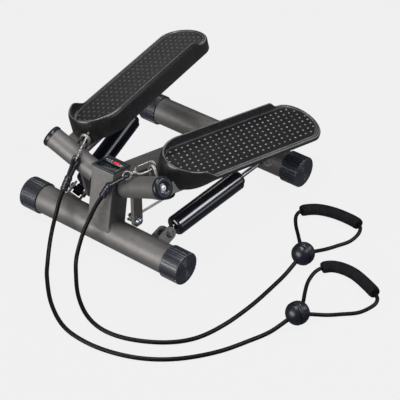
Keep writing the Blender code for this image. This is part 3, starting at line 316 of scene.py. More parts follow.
def wire_ring(name, place, radius, wire, sides, steps):
    """A closed ring of round wire in the XY plane of a place."""
    loop = [place @ Vector((radius * math.cos(a), radius * math.sin(a), 0)) for a in turns(steps)]
    return tube(name, loop, wire, sides=sides, closed=True)


def join(name, *objs):
    """Several meshes as one piece."""
    shape = bmesh.new()
    for obj in objs:
        shape.from_mesh(obj.data)
        bpy.data.objects.remove(obj, do_unlink=True)
    return object_from(name, shape)


def soft_box(name, size, matrix, radius, segments):
    """A box with rounded edges."""
    shape = bmesh.new()
    bmesh.ops.create_cube(shape, size=1)
    bmesh.ops.scale(shape, vec=size, verts=shape.verts)
    bmesh.ops.bevel(shape, geom=shape.edges[:], offset=radius, segments=segments,
                    affect="EDGES", profile=0.5)
    return smooth(object_from(name, shape, matrix), 40)


def dress(obj, material, body, *nodes, slot=None):
    """Give a piece its material and body, and let it stand for its CAD nodes."""
    obj.data.materials.clear()
    obj.data.materials.append(material)
    if body is not None:
        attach(obj, body)
    if nodes:
        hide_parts(*nodes)
    return obj


# --- materials --------------------------------------------------------------------

def new_material(name, colour, roughness, metallic=0.0):
    mat = bpy.data.materials.new(name)
    mat.use_nodes = True
    tree = mat.node_tree
    shader = tree.nodes["Principled BSDF"]
    shader.inputs["Base Color"].default_value = (*colour, 1)
    shader.inputs["Roughness"].default_value = roughness
    shader.inputs["Metallic"].default_value = metallic
    return mat, shader, tree


def add_node(tree, kind, values=None, links=None):
    """A shader node with its input values and the outputs that feed it."""
    node = tree.nodes.new("ShaderNode" + kind)
    for key, value in (values or {}).items():
        node.inputs[key].default_value = value
    for key, source in (links or {}).items():
        tree.links.new(source, node.inputs[key])
    return node


def add_noise(tree, scale, detail, rough=0.55):
    coords = add_node(tree, "TexCoord")
    noise = add_node(tree, "TexNoise", {"Scale": scale, "Detail": detail, "Roughness": rough},
                     {"Vector": coords.outputs["Object"]})
    return noise.outputs["Fac"]


def spread(tree, value, low, high):
    """Map the middle of a noise's range to low..high."""
    limits = {"From Min": 0.3, "From Max": 0.7, "To Min": low, "To Max": high}
    return add_node(tree, "MapRange", limits, {"Value": value}).outputs["Result"]


def tint(tree, value, dark, light):
    ramp = add_node(tree, "ValToRGB", links={"Fac": value})
    for stop, place, colour in zip(ramp.color_ramp.elements, (0.32, 0.68), (dark, light)):
        stop.position = place
        stop.color = (*colour, 1)
    return ramp.outputs["Color"]


def add_bump(tree, shader, value, height):
    bump = add_node(tree, "Bump", {"Distance": height, "Strength": 1.0}, {"Height": value})
    tree.links.new(bump.outputs["Normal"], shader.inputs["Normal"])


def edge_wear_and_sheen(tree, colour, edge):
    """The colour, with the edge's colour in patches along sharp outer edges."""
    geometry = add_node(tree, "NewGeometry")
    sharp = add_node(tree, "MapRange", {"From Min": 0.53, "From Max": 0.60},
                     {"Value": geometry.outputs["Pointiness"]})
    patches = spread(tree, add_noise(tree, 120.0, 3.0), 0.1, 0.8)
    mask = add_node(tree, "Math", links={0: sharp.outputs["Result"], 1: patches})
    mask.operation = "MULTIPLY"
    mix = add_node(tree, "Mix")
    mix.data_type = "RGBA"
    tree.links.new(mask.outputs["Value"], mix.inputs["Factor"])
    tree.links.new(colour, mix.inputs[6])
    mix.inputs[7].default_value = (*edge, 1)
    return mix.outputs[2]


def rgb(colour):
    """A colour, or a number for a neutral grey."""
    return colour if isinstance(colour, tuple) else (colour, colour, colour)


def finish(name, dark, light, rough, metallic=0.0, coat=0.0, coat_rough=0.08, cloud=35.0,
           grain=None, edge=None, specular=0.5):
    """A procedural finish: mottled colour, varied roughness, grain bump and paler sharp edges, which
    are wear and, on the tray, also a painted highlight along the rim.

    cloud is the scale of the mottling, and grain is the scale and the height of the bump.
    """
    mat, shader, tree = new_material(name, rgb(light), sum(rough) / 2, metallic)
    colour = tint(tree, add_noise(tree, cloud, 5.0, 0.6), rgb(dark), rgb(light))
    if edge is not None:
        colour = edge_wear_and_sheen(tree, colour, rgb(edge))
    tree.links.new(colour, shader.inputs["Base Color"])
    tree.links.new(spread(tree, add_noise(tree, cloud * 3.1, 4.0, 0.6), *rough),
                   shader.inputs["Roughness"])
    if grain:
        add_bump(tree, shader, add_noise(tree, grain[0], 2.0, 0.5), grain[1])
    shader.inputs["Coat Weight"].default_value = coat
    shader.inputs["Coat Roughness"].default_value = coat_rough
    shader.inputs["Specular IOR Level"].default_value = specular
    return mat


# Scale and height of the bump.
GRAIN, FINE_GRAIN, FAINT_GRAIN = (1500.0, 0.00003), (1500.0, 0.00002), (1500.0, 0.00001)
PAINT = finish("frame_paint", (0.168, 0.160, 0.154), (0.188, 0.180, 0.174), (0.55, 0.60),
               metallic=0.80, coat=0.05, grain=(1400.0, 0.00003), edge=(0.26, 0.25, 0.24))
CAP = finish("cap_rubber", (0.014, 0.016, 0.023), (0.022, 0.025, 0.034), (0.30, 0.38),
             grain=(1800.0, 0.000006), specular=0.75)
# The tray's paler sharp edges are partly wear and partly a painted highlight along the rim.
TRAY = finish("tray_plastic", 0.007, 0.011, (0.30, 0.38), coat=0.55, coat_rough=0.17,
              grain=GRAIN, edge=0.08)
# Paler finish for the floor's bead and the rim's crest: a painted highlight.
TRAY_RIM_HIGHLIGHT = finish("tray_rim_painted_highlight", 0.075, 0.150, (0.28, 0.38), coat=0.4, coat_rough=0.2,
                  grain=FINE_GRAIN)
# Two copies of one dot finish: the right tray's dots are paler as a painted highlight, the left
# tray's are kept dark as painted shade.
DOTS_LIT_AND_SHADED = {
    RIGHT: finish("dots_right_painted_highlight", 0.11, 0.32, (0.25, 0.4), cloud=45.0, grain=GRAIN),
    LEFT: finish("dots_left_painted_shade", 0.03, 0.09, (0.3, 0.45), cloud=60.0, grain=GRAIN),
}
SLATE = finish("slate_plastic", (0.006, 0.007, 0.011), (0.011, 0.013, 0.019), (0.24, 0.34),
               grain=FINE_GRAIN, edge=(0.04, 0.04, 0.055))
GLOSS = {
    RIGHT: finish("gloss_black", (0.0015, 0.0015, 0.0035), (0.003, 0.003, 0.007), (0.17, 0.23),
                  coat=0.9, coat_rough=0.13, specular=0.7),
    # The left damper's copy: no coat and less specular, so its reflection reads dimmer. A shaded
    # copy of the same gloss black, painted shade rather than another finish.
    LEFT: finish("gloss_black_left_dimmed_reflection", (0.0015, 0.0015, 0.004), (0.003, 0.003, 0.008),
                 (0.17, 0.24), specular=0.32),
}
PIN = finish("pin_steel", (0.12, 0.12, 0.125), (0.22, 0.22, 0.23), (0.3, 0.42), metallic=0.9,
             cloud=160.0)
CHROME = finish("chrome", (0.36, 0.36, 0.38), (0.42, 0.42, 0.44), (0.26, 0.34), metallic=1.0)
ZINC = finish("zinc", (0.42, 0.46, 0.50), (0.52, 0.57, 0.62), (0.30, 0.40), metallic=1.0,
              cloud=180.0, grain=FAINT_GRAIN)
# The axle bolts' zinc, paler and less metallic than the lever bolts' copy: the zinc's own colour
# plus a painted glint on the domed heads.
ZINC_WITH_PAINTED_GLINT = finish("bright_zinc_painted_glint", (0.70, 0.72, 0.76), (0.84, 0.86, 0.90), (0.25, 0.36),
                metallic=0.3, cloud=180.0, grain=FAINT_GRAIN)
NICKEL = finish("nickel", (0.28, 0.27, 0.255), (0.42, 0.40, 0.38), (0.38, 0.50), metallic=0.85,
                cloud=160.0, grain=(900.0, 0.00001))
RUBBER = finish("band_rubber", (0.002, 0.002, 0.003), (0.004, 0.004, 0.006), (0.36, 0.46),
                grain=(2200.0, 0.000008), specular=0.19)
BALL = finish("ball_plastic", (0.004, 0.006, 0.010), (0.009, 0.011, 0.017), (0.27, 0.36),
              grain=(1200.0, 0.00002))
FOAM = finish("foam", (0.004, 0.004, 0.0055), (0.010, 0.010, 0.012), (0.75, 0.9), cloud=90.0,
              grain=(1300.0, 0.0003), specular=0.14)
SLEEVING = finish("cable_sleeving", (0.46, 0.48, 0.44), (0.60, 0.62, 0.58), (0.3, 0.42),
                  cloud=160.0, grain=(1200.0, 0.00002), coat=0.3)
RED = finish("red_button", (0.70, 0.004, 0.014), (0.88, 0.010, 0.028), (0.32, 0.42), coat=0.2)
GLASS = finish("display_window", (0.001, 0.004, 0.005), (0.002, 0.007, 0.008), (0.06, 0.12),
               specular=0.22)
# Near black for the bolt heads' cross recess: painted shade in place of the hollow.
RECESS_PAINTED_SHADE = finish("recess", (0.005, 0.005, 0.006), (0.012, 0.012, 0.014), (0.4, 0.6))
SEGMENT = finish("display_segment", (0.004, 0.013, 0.014), (0.006, 0.018, 0.019), (0.3, 0.4))
PRINT = finish("panel_print", (0.55, 0.56, 0.56), (0.75, 0.76, 0.76), (0.4, 0.5))


def cable_material():
    """Steel wire: fine slanting stripes in the colour and the bump."""
    mat, shader, tree = new_material("steel_cable", (0.60, 0.60, 0.56), 0.35, 0.5)
    coords = add_node(tree, "TexCoord")
    mapping = add_node(tree, "Mapping", {"Rotation": (0.4, 0.5, 0.6)},
                       {"Vector": coords.outputs["Object"]})
    wave = add_node(tree, "TexWave", {"Scale": 260.0}, {"Vector": mapping.outputs["Vector"]})
    tree.links.new(tint(tree, wave.outputs["Fac"], (0.45, 0.44, 0.42), (0.90, 0.89, 0.86)),
                   shader.inputs["Base Color"])
    add_bump(tree, shader, wave.outputs["Fac"], 0.0003)
    return mat


CABLE = cable_material()
SLOT_FINISH = {
    "frame_paint": PAINT, "black_rubber": CAP, "tray_plastic": TRAY, "dark_plastic": SLATE,
    "gloss_black": GLOSS[RIGHT], "chrome": CHROME, "zinc": ZINC, "steel_cable": CABLE,
    "nickel": NICKEL, "screen_glass": GLASS, "red_plastic": RED, "foam": FOAM,
}


# --- placing, as in the CAD -------------------------------------------------------

def at(place=(0, 0, 0), turn=(0, 0, 0)):
    return Matrix.LocRotScale(Vector(place), Euler(turn), None)


def axes(origin, x_axis, y_hint):
    x = Vector(x_axis).normalized()
    z = x.cross(Vector(y_hint)).normalized()
    y = z.cross(x)
    return Matrix.Translation(origin) @ Matrix((x, y, z)).transposed().to_4x4()


def mirrored(matrix, side):
    flip = Matrix.Diagonal((side, 1, 1, 1))
    return flip @ matrix @ flip


Z_TO_X, Z_TO_Y = at(turn=(0, math.pi / 2, 0)), at(turn=(-math.pi / 2, 0, 0))
RISE, SWEEP = math.radians(26.7), math.radians(7.0)
SLEEVE_CENTRE = Vector((71.8, 15.7, 138.8)) * MM
ARM_LOW, ARM_HIGH = math.radians(-9.26), math.radians(3.84)
ARM_ANGLE = {RIGHT: ARM_LOW, LEFT: ARM_HIGH}


def sleeve_local(side, angle):
    out = Vector((math.cos(RISE) * math.cos(SWEEP), -math.cos(RISE) * math.sin(SWEEP),
                  math.sin(RISE)))
    level = Vector((-out.y, out.x, 0)).normalized()
    along = math.cos(angle) * level + math.sin(angle) * out.cross(level)
    return mirrored(axes(SLEEVE_CENTRE, out, along), side)


def sleeve_frame(side):
    """Sleeve frame at rest, in the row frame: X along the axle, Y along the arm."""
    return MACHINE @ sleeve_local(side, ARM_ANGLE[side])


def outward(side):
    """Z of turned pieces points outwards along the sleeve."""
    return mirrored(Z_TO_X, side)


def pedal_body(side):
    return WORDS[side] + "_pedal_assembly"


# --- cords ------------------------------------------------------------------------

# Points in millimetres, in the machine frame.
BAND_ROUTE = {
    RIGHT: (
        (14, -19, 114.8), (6, -27, 96.2), (-1, -37, 72.1), (-5, -48, 51), (-6, -59, 30),
        (-1, -74, 13), (15, -94, 5), (53, -132, 3.9), (96, -160, 3.9), (139, -170, 3.9),
        (184, -161, 3.9), (232, -134, 3.9), (264, -98, 3.9), (281, -48, 3.9), (289, 15, 3.9),
        (290, 77, 3.9), (290, 109, 5.5), (291.5, 135.6, 14),
    ),
    LEFT: (
        (-67, -24, 92.8), (-70, -31, 77.6), (-70, -43, 53.6), (-64, -61, 34.6), (-53, -82, 18),
        (-37, -105, 7), (-15, -131, 3.9), (31, -172, 3.9), (81, -200, 3.9), (129, -207, 3.9),
        (180, -200, 3.9), (230, -180, 3.9), (273, -147, 3.9), (310, -100, 3.9), (335, -49, 3.9),
        (349, -18, 6), (359.7, 13, 14),
    ),
}
LOOP_ROUTE = {
    RIGHT: (
        (281.3, 167.1, 13.6), (263, 189, 6), (247, 207, 3.7), (232, 223, 4.5), (222, 237, 8),
        (220, 249, 10.4), (226, 262, 10.4), (243, 276, 10.4), (268, 284, 10.4), (297, 286, 10.4),
        (318, 283, 10.4), (328, 274, 10.4), (331, 260, 7.5), (327, 242, 3.7), (316, 219, 3.7),
        (307, 200, 5), (297.8, 171.2, 13.8),
    ),
    LEFT: (
        (361.1, 46.6, 13.2), (350, 71, 6), (338, 94, 3.7), (329, 116, 4.5), (327, 137, 8),
        (332, 152, 10.4), (343, 165, 10.4), (361, 171, 10.4), (384, 170, 10.4), (411, 161, 10.4),
        (436, 149, 10.4), (446, 136, 10.4), (444, 122, 7.5), (433, 103, 3.7), (414, 84, 3.7),
        (397, 67, 5), (378, 43.7, 13.6),
    ),
}
BALL_CENTRE = {
    RIGHT: Vector((293.3, 153.7, 20.3)) * MM,
    LEFT: Vector((366.7, 29.6, 20.3)) * MM,
}
BALL_R, BALL_SEAM, SEAM_HALF, RIB_PITCH = mm(20.0, -6.0, 1.1, 3.4)
BAND_R, BAND_REST = mm(3.5, 20.0)
CORD_R = 3.2 * MM
GRIP_R, GRIP_EDGE = mm(10.0, 0.9)
GRIP_SPAN = (0.33, 0.66)


def laid(points, spacing):
    """A route in the row frame along points in millimetres."""
    return [SHIFT + p for p in spline([Vector(p) * MM for p in points], spacing)]


def band_tube(side):
    """Rubber band from the ferrule by the pedal down to the floor, its lower part lying on the
    floor.
    """
    word = WORDS[side]
    route = laid(BAND_ROUTE[side], 5.0 * MM)
    band = tube("band_" + word, route, BAND_R, sides=14)
    dress(band, RUBBER, None, "band_tube_" + word, slot="black_rubber")
    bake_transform(band)
    return band, route


def ball_radius(height):
    """Ribbed towards the handle, then the seam's groove, then smooth towards the band."""
    if height > BALL_SEAM + SEAM_HALF:
        wave = math.cos(2 * math.pi * (height - BALL_SEAM) / RIB_PITCH)
        return BALL_R - 0.7 * MM - 0.6 * MM * (0.5 + 0.5 * wave)
    if height > BALL_SEAM - SEAM_HALF:
        return BALL_R - 2.2 * MM
    return BALL_R - 0.2 * MM


def band_ball(side):
    """Moulded ball in two halves, with the band on one side and the handle on the other."""
    word = WORDS[side]
    route = BAND_ROUTE[side]
    along = Vector(route[-1]) - Vector(route[-2])
    along.z = 0
    place = axes(MACHINE @ BALL_CENTRE[side], along, (0, 0, 1)) @ Z_TO_X
    profile = []
    for k in range(121):
        angle = math.pi * k / 120
        radius = ball_radius(BALL_R * math.cos(angle))
        profile.append((radius * math.sin(angle), radius * math.cos(angle)))
    profile[0], profile[-1] = (0, profile[0][1]), (0, profile[-1][1])
    ball = lathe("ball_" + word, profile, place, angle=30)
    return dress(ball, BALL, "frame", "band_ball_" + word, slot="gloss_black")


def grip_stretch(side, route):
    """The part of the handle's loop inside the grip, set by steps of 12.5 mm as in the CAD."""
    count = len(laid(LOOP_ROUTE[side], 12.5 * MM))
    first, last = (int(share * count) for share in GRIP_SPAN)
    total = len(route) - 1
    start = round((first + 0.05) / (count - 1) * total)
    stop = round((last - 1.05) / (count - 1) * total)
    return route[start:stop + 1]


def foam_grip(side, stretch):
    """Thick foam tube with eased ends, slight ripples and a bore that follows the cord."""
    rng = random.Random(7 + side)
    waves = [(rng.uniform(0, 6.28), rng.uniform(0.6, 1.4)) for _ in range(2)]
    phase, pace = waves[0][0], waves[1][1]
    rows = frames_along(stretch)
    length = route_length(stretch)
    sides = 32
    outer, run = [], 0.0
    for i, row in enumerate(rows):
        if i:
            run += (row[0] - rows[i - 1][0]).length
        ease = min(min(run, length - run) / GRIP_EDGE, 1.0)
        radius = GRIP_R - GRIP_EDGE * (1 - math.sqrt(max(0.0, 1 - (1 - ease) ** 2)))

        def rippled(angle):
            ripple = 0.12 * MM * math.sin(3 * angle + phase + 40 * run * pace)
            return radius - 0.15 * MM + ripple
        outer.append(ring_at(row, rippled, sides))
    inner = [ring_at(row, CORD_R + 0.5 * MM, sides) for row in rows]
    verts, numbers = stack(outer + inner[::-1])
    grip = solid("grip_" + WORDS[side], verts, skin(numbers, closed=True), 50)
    dress(grip, FOAM, "frame", "handle_grip_" + WORDS[side], slot="foam")
    return grip


def handle(side):
    """Handle loop with its foam grip."""
    word = WORDS[side]
    route = laid(LOOP_ROUTE[side], 4.0 * MM)
    cord = tube("handle_cord_piece_" + word, route, CORD_R, sides=14)
    dress(cord, RUBBER, "frame", "handle_cord_" + word, slot="black_rubber")
    return cord, route, foam_grip(side, grip_stretch(side, route))


def cords():
    for side in WORDS:
        band, route = band_tube(side)
        ball = band_ball(side)
        crimp = ferrule(side)
        cord, loop, grip = handle(side)


# --- stabilisers and caps ---------------------------------------------------------

TUBE_R, TUBE_WALL = mm(25.0, 2.0)
CAP_R, CAP_LENGTH, CAP_BORE = 28.0 * MM, 35.4 * MM, TUBE_R + 0.3 * MM
CAP_RIBS, CAP_EDGE = 30, 2.6 * MM
HALF = {"front": 170.7 * MM, "rear": 176.9 * MM}
ROW_Y = {"front": 0.0, "rear": 328.8 * MM}


def stabiliser(end):
    """Round tube between its two caps, with the rounded lip of a sawn end."""
    half = HALF[end] - 6.0 * MM
    profile = [(TUBE_R - TUBE_WALL, -half), *offsets(TUBE_R, -half, (-0.5, 0), (0, 0.5)),
               *offsets(TUBE_R, half, (0, -0.5), (-0.5, 0)), (TUBE_R - TUBE_WALL, half)]
    place = MACHINE @ at((0, ROW_Y[end], CAP_R), (0, math.pi / 2, 0))
    piece = lathe("tube_" + end, profile, place, steps=96)
    return dress(piece, PAINT, "frame", end + "_stabiliser", slot="frame_paint")


def cap_radius(angle, share):
    """Ribbed skin: broad ribs with narrow grooves. share is the part of their full depth."""
    phase = (angle / (2 * math.pi) * CAP_RIBS) % 1.0
    groove = max(0.0, 1.0 - abs(phase - 0.5) * 2 / 0.34)
    depth = 1.15 * MM * math.sin(min(groove * 1.6, 1.0) * math.pi / 2)
    return CAP_R - depth * share


def cap_rows():
    """Rows of (share of the ribs, drop below the cap's radius, height), the bore's floor last."""
    half = CAP_LENGTH / 2
    rows = [(0, CAP_R - CAP_BORE, -half), (0, 1.6 * MM, -half), (0.6, 0.5 * MM, 0.2 * MM - half),
            (1, 0, 0.9 * MM - half), (1, 0, half - 3.6 * MM)]
    for k in range(1, 7):
        bend = math.pi / 2 * k / 6
        rows.append((1 - k / 6, CAP_EDGE * (1 - math.cos(bend)),
                     half - CAP_EDGE + CAP_EDGE * math.sin(bend)))
    rows += [(0, drop * MM, half - dip * MM) for drop, dip in ((3.4, 0.1), (4.4, 0.7), (5.4, 0.9))]
    for ring in (0.72, 0.56, 0.40, 0.24):
        for step, lift in ((0.035, -1.0), (0.015, -0.45), (-0.015, -0.45), (-0.035, -1.0)):
            rows.append((0, CAP_R * (1 - ring - step), half + lift * MM))
    rows.append((0, CAP_R - CAP_BORE, half - 5.0 * MM))
    return rows


def end_cap(end, side):
    """Ribbed rubber cup with a rounded outer edge and raised rings on its end face."""
    rings = []
    for share, drop, height in cap_rows():
        ring = []
        for a in turns(CAP_RIBS * 10):
            r = cap_radius(a, share) - drop
            ring.append((r * math.cos(a), r * math.sin(a), height))
        rings.append(ring)
    verts, numbers = stack(rings)
    faces = skin(numbers[:-1]) + quads(numbers[-1], numbers[0]) + [numbers[-2], numbers[-1]]
    place = MACHINE @ at(((HALF[end] - CAP_LENGTH / 2) * side, ROW_Y[end], CAP_R),
                         (0, math.pi / 2 * side, 0))
    name = end + "_cap_" + WORDS[side]
    cap = solid(name + "_ribbed", verts, faces, 32, place)
    return dress(cap, CAP, "frame", name, slot="black_rubber")


# --- pedals -----------------------------------------------------------------------

PEDAL_ORIGIN = Vector((22.7, 32.5, 17.3)) * MM
PEDAL_ROLL, PEDAL_TOE_IN = math.radians(38.4), math.radians(1.15)
PEDAL_LENGTH, PEDAL_WIDTH = mm(344.0, 98.6)
TOE_DEPTH, HEEL_DEPTH = mm(61.0, 38.5)
HEEL_START = PEDAL_LENGTH - HEEL_DEPTH
WALL_HEIGHT, WALL_THICK, RIM_HEIGHT = mm(16.7, 4.6, 1.4)
FLOOR_THICK = 4.0 * MM
INNER_ROLL = 1.5 * MM
CHEEK = 1.12
SKIRT_INNER, SKIRT_OUTER = mm(20.0, 6.0)
SKIRT_FALL = mm(2.0, 72.0)
# Where the rim's painted highlight goes: the bead's insets and top, and the crest's inset, lowest
# height and least upward lean.
BEAD_FROM, BEAD_TO, BEAD_TOP = mm(6.2, 8.2, 1.2)
CREST_TO, CREST_FROM_Z, CREST_LEVEL = 4.3 * MM, 0.8 * MM, 0.62
OUTER_WALL_FALL = mm(38.0, 76.0)
INNER_WALL_FALL = mm(276.0, 304.0)


def pedal_frame(side):
    return sleeve_frame(side) @ mirrored(at(PEDAL_ORIGIN, (0, PEDAL_ROLL, PEDAL_TOE_IN)), side)


def half_oval(depth, centre, start, count):
    """Half an oval across the tray, up to but without its last point."""
    return [(PEDAL_WIDTH / 2 * math.cos(a), centre + depth * math.sin(a))
            for a in (start + math.pi * k / count for k in range(count))]


def tray_outline():
    """The tray's edge from the toe round the heel: two half ovals and two straight sides."""
    half = PEDAL_WIDTH / 2
    rises = [(HEEL_START - TOE_DEPTH) * k / 66 for k in range(66)]
    return (half_oval(TOE_DEPTH, TOE_DEPTH, math.pi, 72) + [(half, TOE_DEPTH + y) for y in rises]
            + half_oval(HEEL_DEPTH, HEEL_START, 0, 60) + [(-half, HEEL_START - y) for y in rises])


def fade(value, start, end):
    share = min(max((value - start) / (end - start), 0.0), 1.0)
    return 1 - share * share * (3 - 2 * share)


def wall_height(x, y):
    """Low rim all round, a wall along the inner side and a cheek at the toe's outer side."""
    outer = CHEEK * fade(y, *OUTER_WALL_FALL)
    inner = fade(y, *INNER_WALL_FALL)
    share = min(max(0.5 + x / (0.5 * PEDAL_WIDTH), 0.0), 1.0)
    return RIM_HEIGHT + (WALL_HEIGHT - RIM_HEIGHT) * (outer * share + inner * (1 - share))


def skirt_depth(x, y):
    outer = SKIRT_OUTER + (SKIRT_INNER - SKIRT_OUTER) * fade(y, *SKIRT_FALL)
    share = min(max(0.5 + x / PEDAL_WIDTH, 0.0), 1.0)
    return outer * share + SKIRT_INNER * (1 - share)


def tray_sections():
    """(inset, height) rules from the floor over the rim and down to the underside."""
    sections = [
        (9.4 * MM, lambda x, y: 0.0),
        (8.6 * MM, lambda x, y: 0.25 * MM),
        (7.9 * MM, lambda x, y: 0.75 * MM),
        (7.2 * MM, lambda x, y: 0.85 * MM),
        (6.5 * MM, lambda x, y: 0.55 * MM),
        (6.0 * MM, lambda x, y: 0.10 * MM),
        (5.5 * MM, lambda x, y: 0.12 * wall_height(x, y)),
    ]
    for share in (0.3, 0.5, 0.7):
        lean = (1.0 - share) * 0.8 * MM
        sections.append((WALL_THICK + lean, lambda x, y, s=share: s * wall_height(x, y)))
    for k in range(5):
        turn = math.pi / 2 * k / 4
        inset = WALL_THICK - INNER_ROLL * (1 - math.cos(turn))
        drop = 1 - math.sin(turn)
        sections.append((inset, lambda x, y, s=drop: wall_height(x, y)
                         - min(INNER_ROLL, 0.8 * wall_height(x, y)) * s))
    wide = WALL_THICK - INNER_ROLL - 0.3 * MM
    for k in range(8):
        turn = math.pi / 2 * k / 7
        sections.append((wide * (1 - math.sin(turn)), lambda x, y, s=1 - math.cos(turn):
                         wall_height(x, y) - (0.50 * wall_height(x, y) + 2.0 * MM) * s))
    sections += [
        (0.0, lambda x, y: 0.6 * MM - skirt_depth(x, y)),
        (0.5 * MM, lambda x, y: -skirt_depth(x, y)),
        (2.6 * MM, lambda x, y: -skirt_depth(x, y)),
        (3.1 * MM, lambda x, y: 0.6 * MM - skirt_depth(x, y)),
        (4.0 * MM, lambda x, y: -FLOOR_THICK),
    ]
    return sections


def tray(side):
    """Moulded tray: floor with a raised bead round it, rolled rim, wall and skirt."""
    word = WORDS[side]
    outline = tray_outline()
    half_x, half_y = PEDAL_WIDTH / 2, PEDAL_LENGTH / 2
    rings = []
    for inset, height in tray_sections():
        sx, sy = (half_x - inset) / half_x, (half_y - inset) / half_y
        rings.append([(side * x * sx, half_y + (y - half_y) * sy, height(x, y)) for x, y in outline])
    verts, numbers = stack(rings)
    faces = skin(numbers) + [numbers[0], numbers[-1]]
    piece = solid("tray_" + word, verts, faces, 50, pedal_frame(side))
    weighted = piece.modifiers.new("weighted", "WEIGHTED_NORMAL")
    weighted.keep_sharp = True
    dress(piece, TRAY, pedal_body(side), "pedal_" + word, slot="tray_plastic")
    # The paler bead and crest are a painted highlight.
    paint_rim_highlights(piece, side)
    return piece


def rim_inset(x, y):
    """How far a point lies inside the tray's outline."""
    half = PEDAL_WIDTH / 2
    if y < TOE_DEPTH:
        share = math.hypot(x / half, (TOE_DEPTH - y) / TOE_DEPTH)
    elif y > HEEL_START:
        share = math.hypot(x / half, (y - HEEL_START) / HEEL_DEPTH)
    else:
        share = abs(x) / half
    return (1 - share) * half


def paint_rim_highlights(piece, side):
    """The bead round the floor and the up-facing crest of the rim get a paler finish: a painted
    highlight.
    """
    piece.data.materials.append(TRAY_RIM_HIGHLIGHT)
    to_tray = pedal_frame(side).inverted()
    for face in piece.data.polygons:
        x, y, z = to_tray @ face.center
        normal = to_tray.to_3x3() @ face.normal
        inset = rim_inset(x, y)
        on_bead = BEAD_FROM < inset < BEAD_TO and z < BEAD_TOP
        on_crest = inset < CREST_TO and z > CREST_FROM_Z and normal.z > CREST_LEVEL
        if on_bead or on_crest:
            face.material_index = 1


DOT_PITCH, DOT_ROW, DOT_SHIFT = mm(13.0, 9.3, 2.0)
DOT_HALF_X, DOT_HALF_Y = mm(1.45, 2.10)
DOT_GROW = {RIGHT: 1.08, LEFT: 1.3}


def dot_places():
    """Rows of grip dots along the tray; each row sits a little nearer the toe."""
    wide = PEDAL_WIDTH / 2 - 11.5 * MM
    toe, heel = TOE_DEPTH - 12 * MM, HEEL_DEPTH - 10 * MM
    places = []
    for row in range(9):
        x = -34.0 * MM + DOT_ROW * row
        for k in range(-2, 30):
            y = 14.0 * MM + DOT_PITCH * k - DOT_SHIFT * row
            if y < TOE_DEPTH:
                inside = (x / wide) ** 2 + ((TOE_DEPTH - y) / toe) ** 2 < 1.0
            elif y > HEEL_START:
                inside = (x / wide) ** 2 + ((y - HEEL_START) / heel) ** 2 < 1.0
            else:
                inside = abs(x) < wide + 1e-6
            if inside:
                places.append((x, y))
    return places


def tray_dots(side):
    """Small raised ovals moulded on the tray's floor for grip."""
    verts, faces = [], []
    wide, long = DOT_HALF_X * DOT_GROW[side], DOT_HALF_Y * DOT_GROW[side]
    for x, y in dot_places():
        rings = [[(side * x + wide * size * math.cos(a), y + long * size * math.sin(a), lift * MM)
                  for a in turns(12)]
                 for size, lift in ((1.0, -0.05), (0.92, 0.22), (0.66, 0.42), (0.32, 0.52))]
        points, numbers = stack([*rings, [(side * x, y, 0.55 * MM)]])
        faces += [[len(verts) + k for k in face] for face in skin(numbers) + [numbers[0]]]
        verts += points
    piece = solid("tray_dots_" + WORDS[side], verts, faces, 60, pedal_frame(side))
    # The dots' finish differs per side only by painted light: highlight on the right, shade on the
    # left.
    return dress(piece, DOTS_LIT_AND_SHADED[side], pedal_body(side))


# --- pedal pivots -----------------------------------------------------------------

SLEEVE_R, SLEEVE_BORE = mm(18.0, 15.0)
SLEEVE_OUT, SLEEVE_IN = mm(50.0, -45.5)
SLEEVE_LIP = 0.7 * MM
FLANGE_R, FLANGE, FLANGE_ROLL, SPIGOT = mm(19.0, 6.0, 5.4, 18.0)
SHOULDER = SLEEVE_OUT + 0.3 * MM
AXLE_R = 8.0 * MM


def sleeve_piece(side):
    word = WORDS[side]
    lip = SLEEVE_LIP
    profile = [(SLEEVE_BORE, SLEEVE_IN + lip), (SLEEVE_BORE + lip, SLEEVE_IN),
               (SLEEVE_R - lip, SLEEVE_IN), (SLEEVE_R, SLEEVE_IN + lip),
               (SLEEVE_R, SLEEVE_OUT - lip), (SLEEVE_R - lip, SLEEVE_OUT),
               (SLEEVE_BORE + lip, SLEEVE_OUT), (SLEEVE_BORE, SLEEVE_OUT - lip)]
    piece = lathe("sleeve_tube_" + word, profile, sleeve_frame(side) @ outward(side), steps=80)
    return dress(piece, PAINT, pedal_body(side), "sleeve_" + word, slot="frame_paint")


def outer_bush(side):
    """Bush with a domed flange over the sleeve's end and a dished hole round the bolt."""
    word = WORDS[side]
    bore, top = AXLE_R + 0.3 * MM, SHOULDER + FLANGE
    profile = [(bore, SHOULDER - SPIGOT)]
    profile += offsets(bore, top, (0, -2.2), (0.5, -1.7), (1.3, -1.5), (2.0, -0.4), (2.7, 0))
    profile += arc((FLANGE_R - FLANGE_ROLL, top - FLANGE_ROLL), FLANGE_ROLL, math.pi / 2, 0, 8)
    profile += offsets(FLANGE_R, SHOULDER, (0, -2.2), (-0.4, -2.6))
    profile += offsets(SLEEVE_R, SHOULDER, (0.25, -2.6), (0.25, 0))
    profile += [(SLEEVE_BORE - 0.3 * MM, SHOULDER), (SLEEVE_BORE - 0.3 * MM, SHOULDER - SPIGOT)]
    piece = lathe("bush_flange_" + word, profile, sleeve_frame(side) @ outward(side), steps=80)
    return dress(piece, SLATE, pedal_body(side), "bush_outer_" + word, slot="dark_plastic")


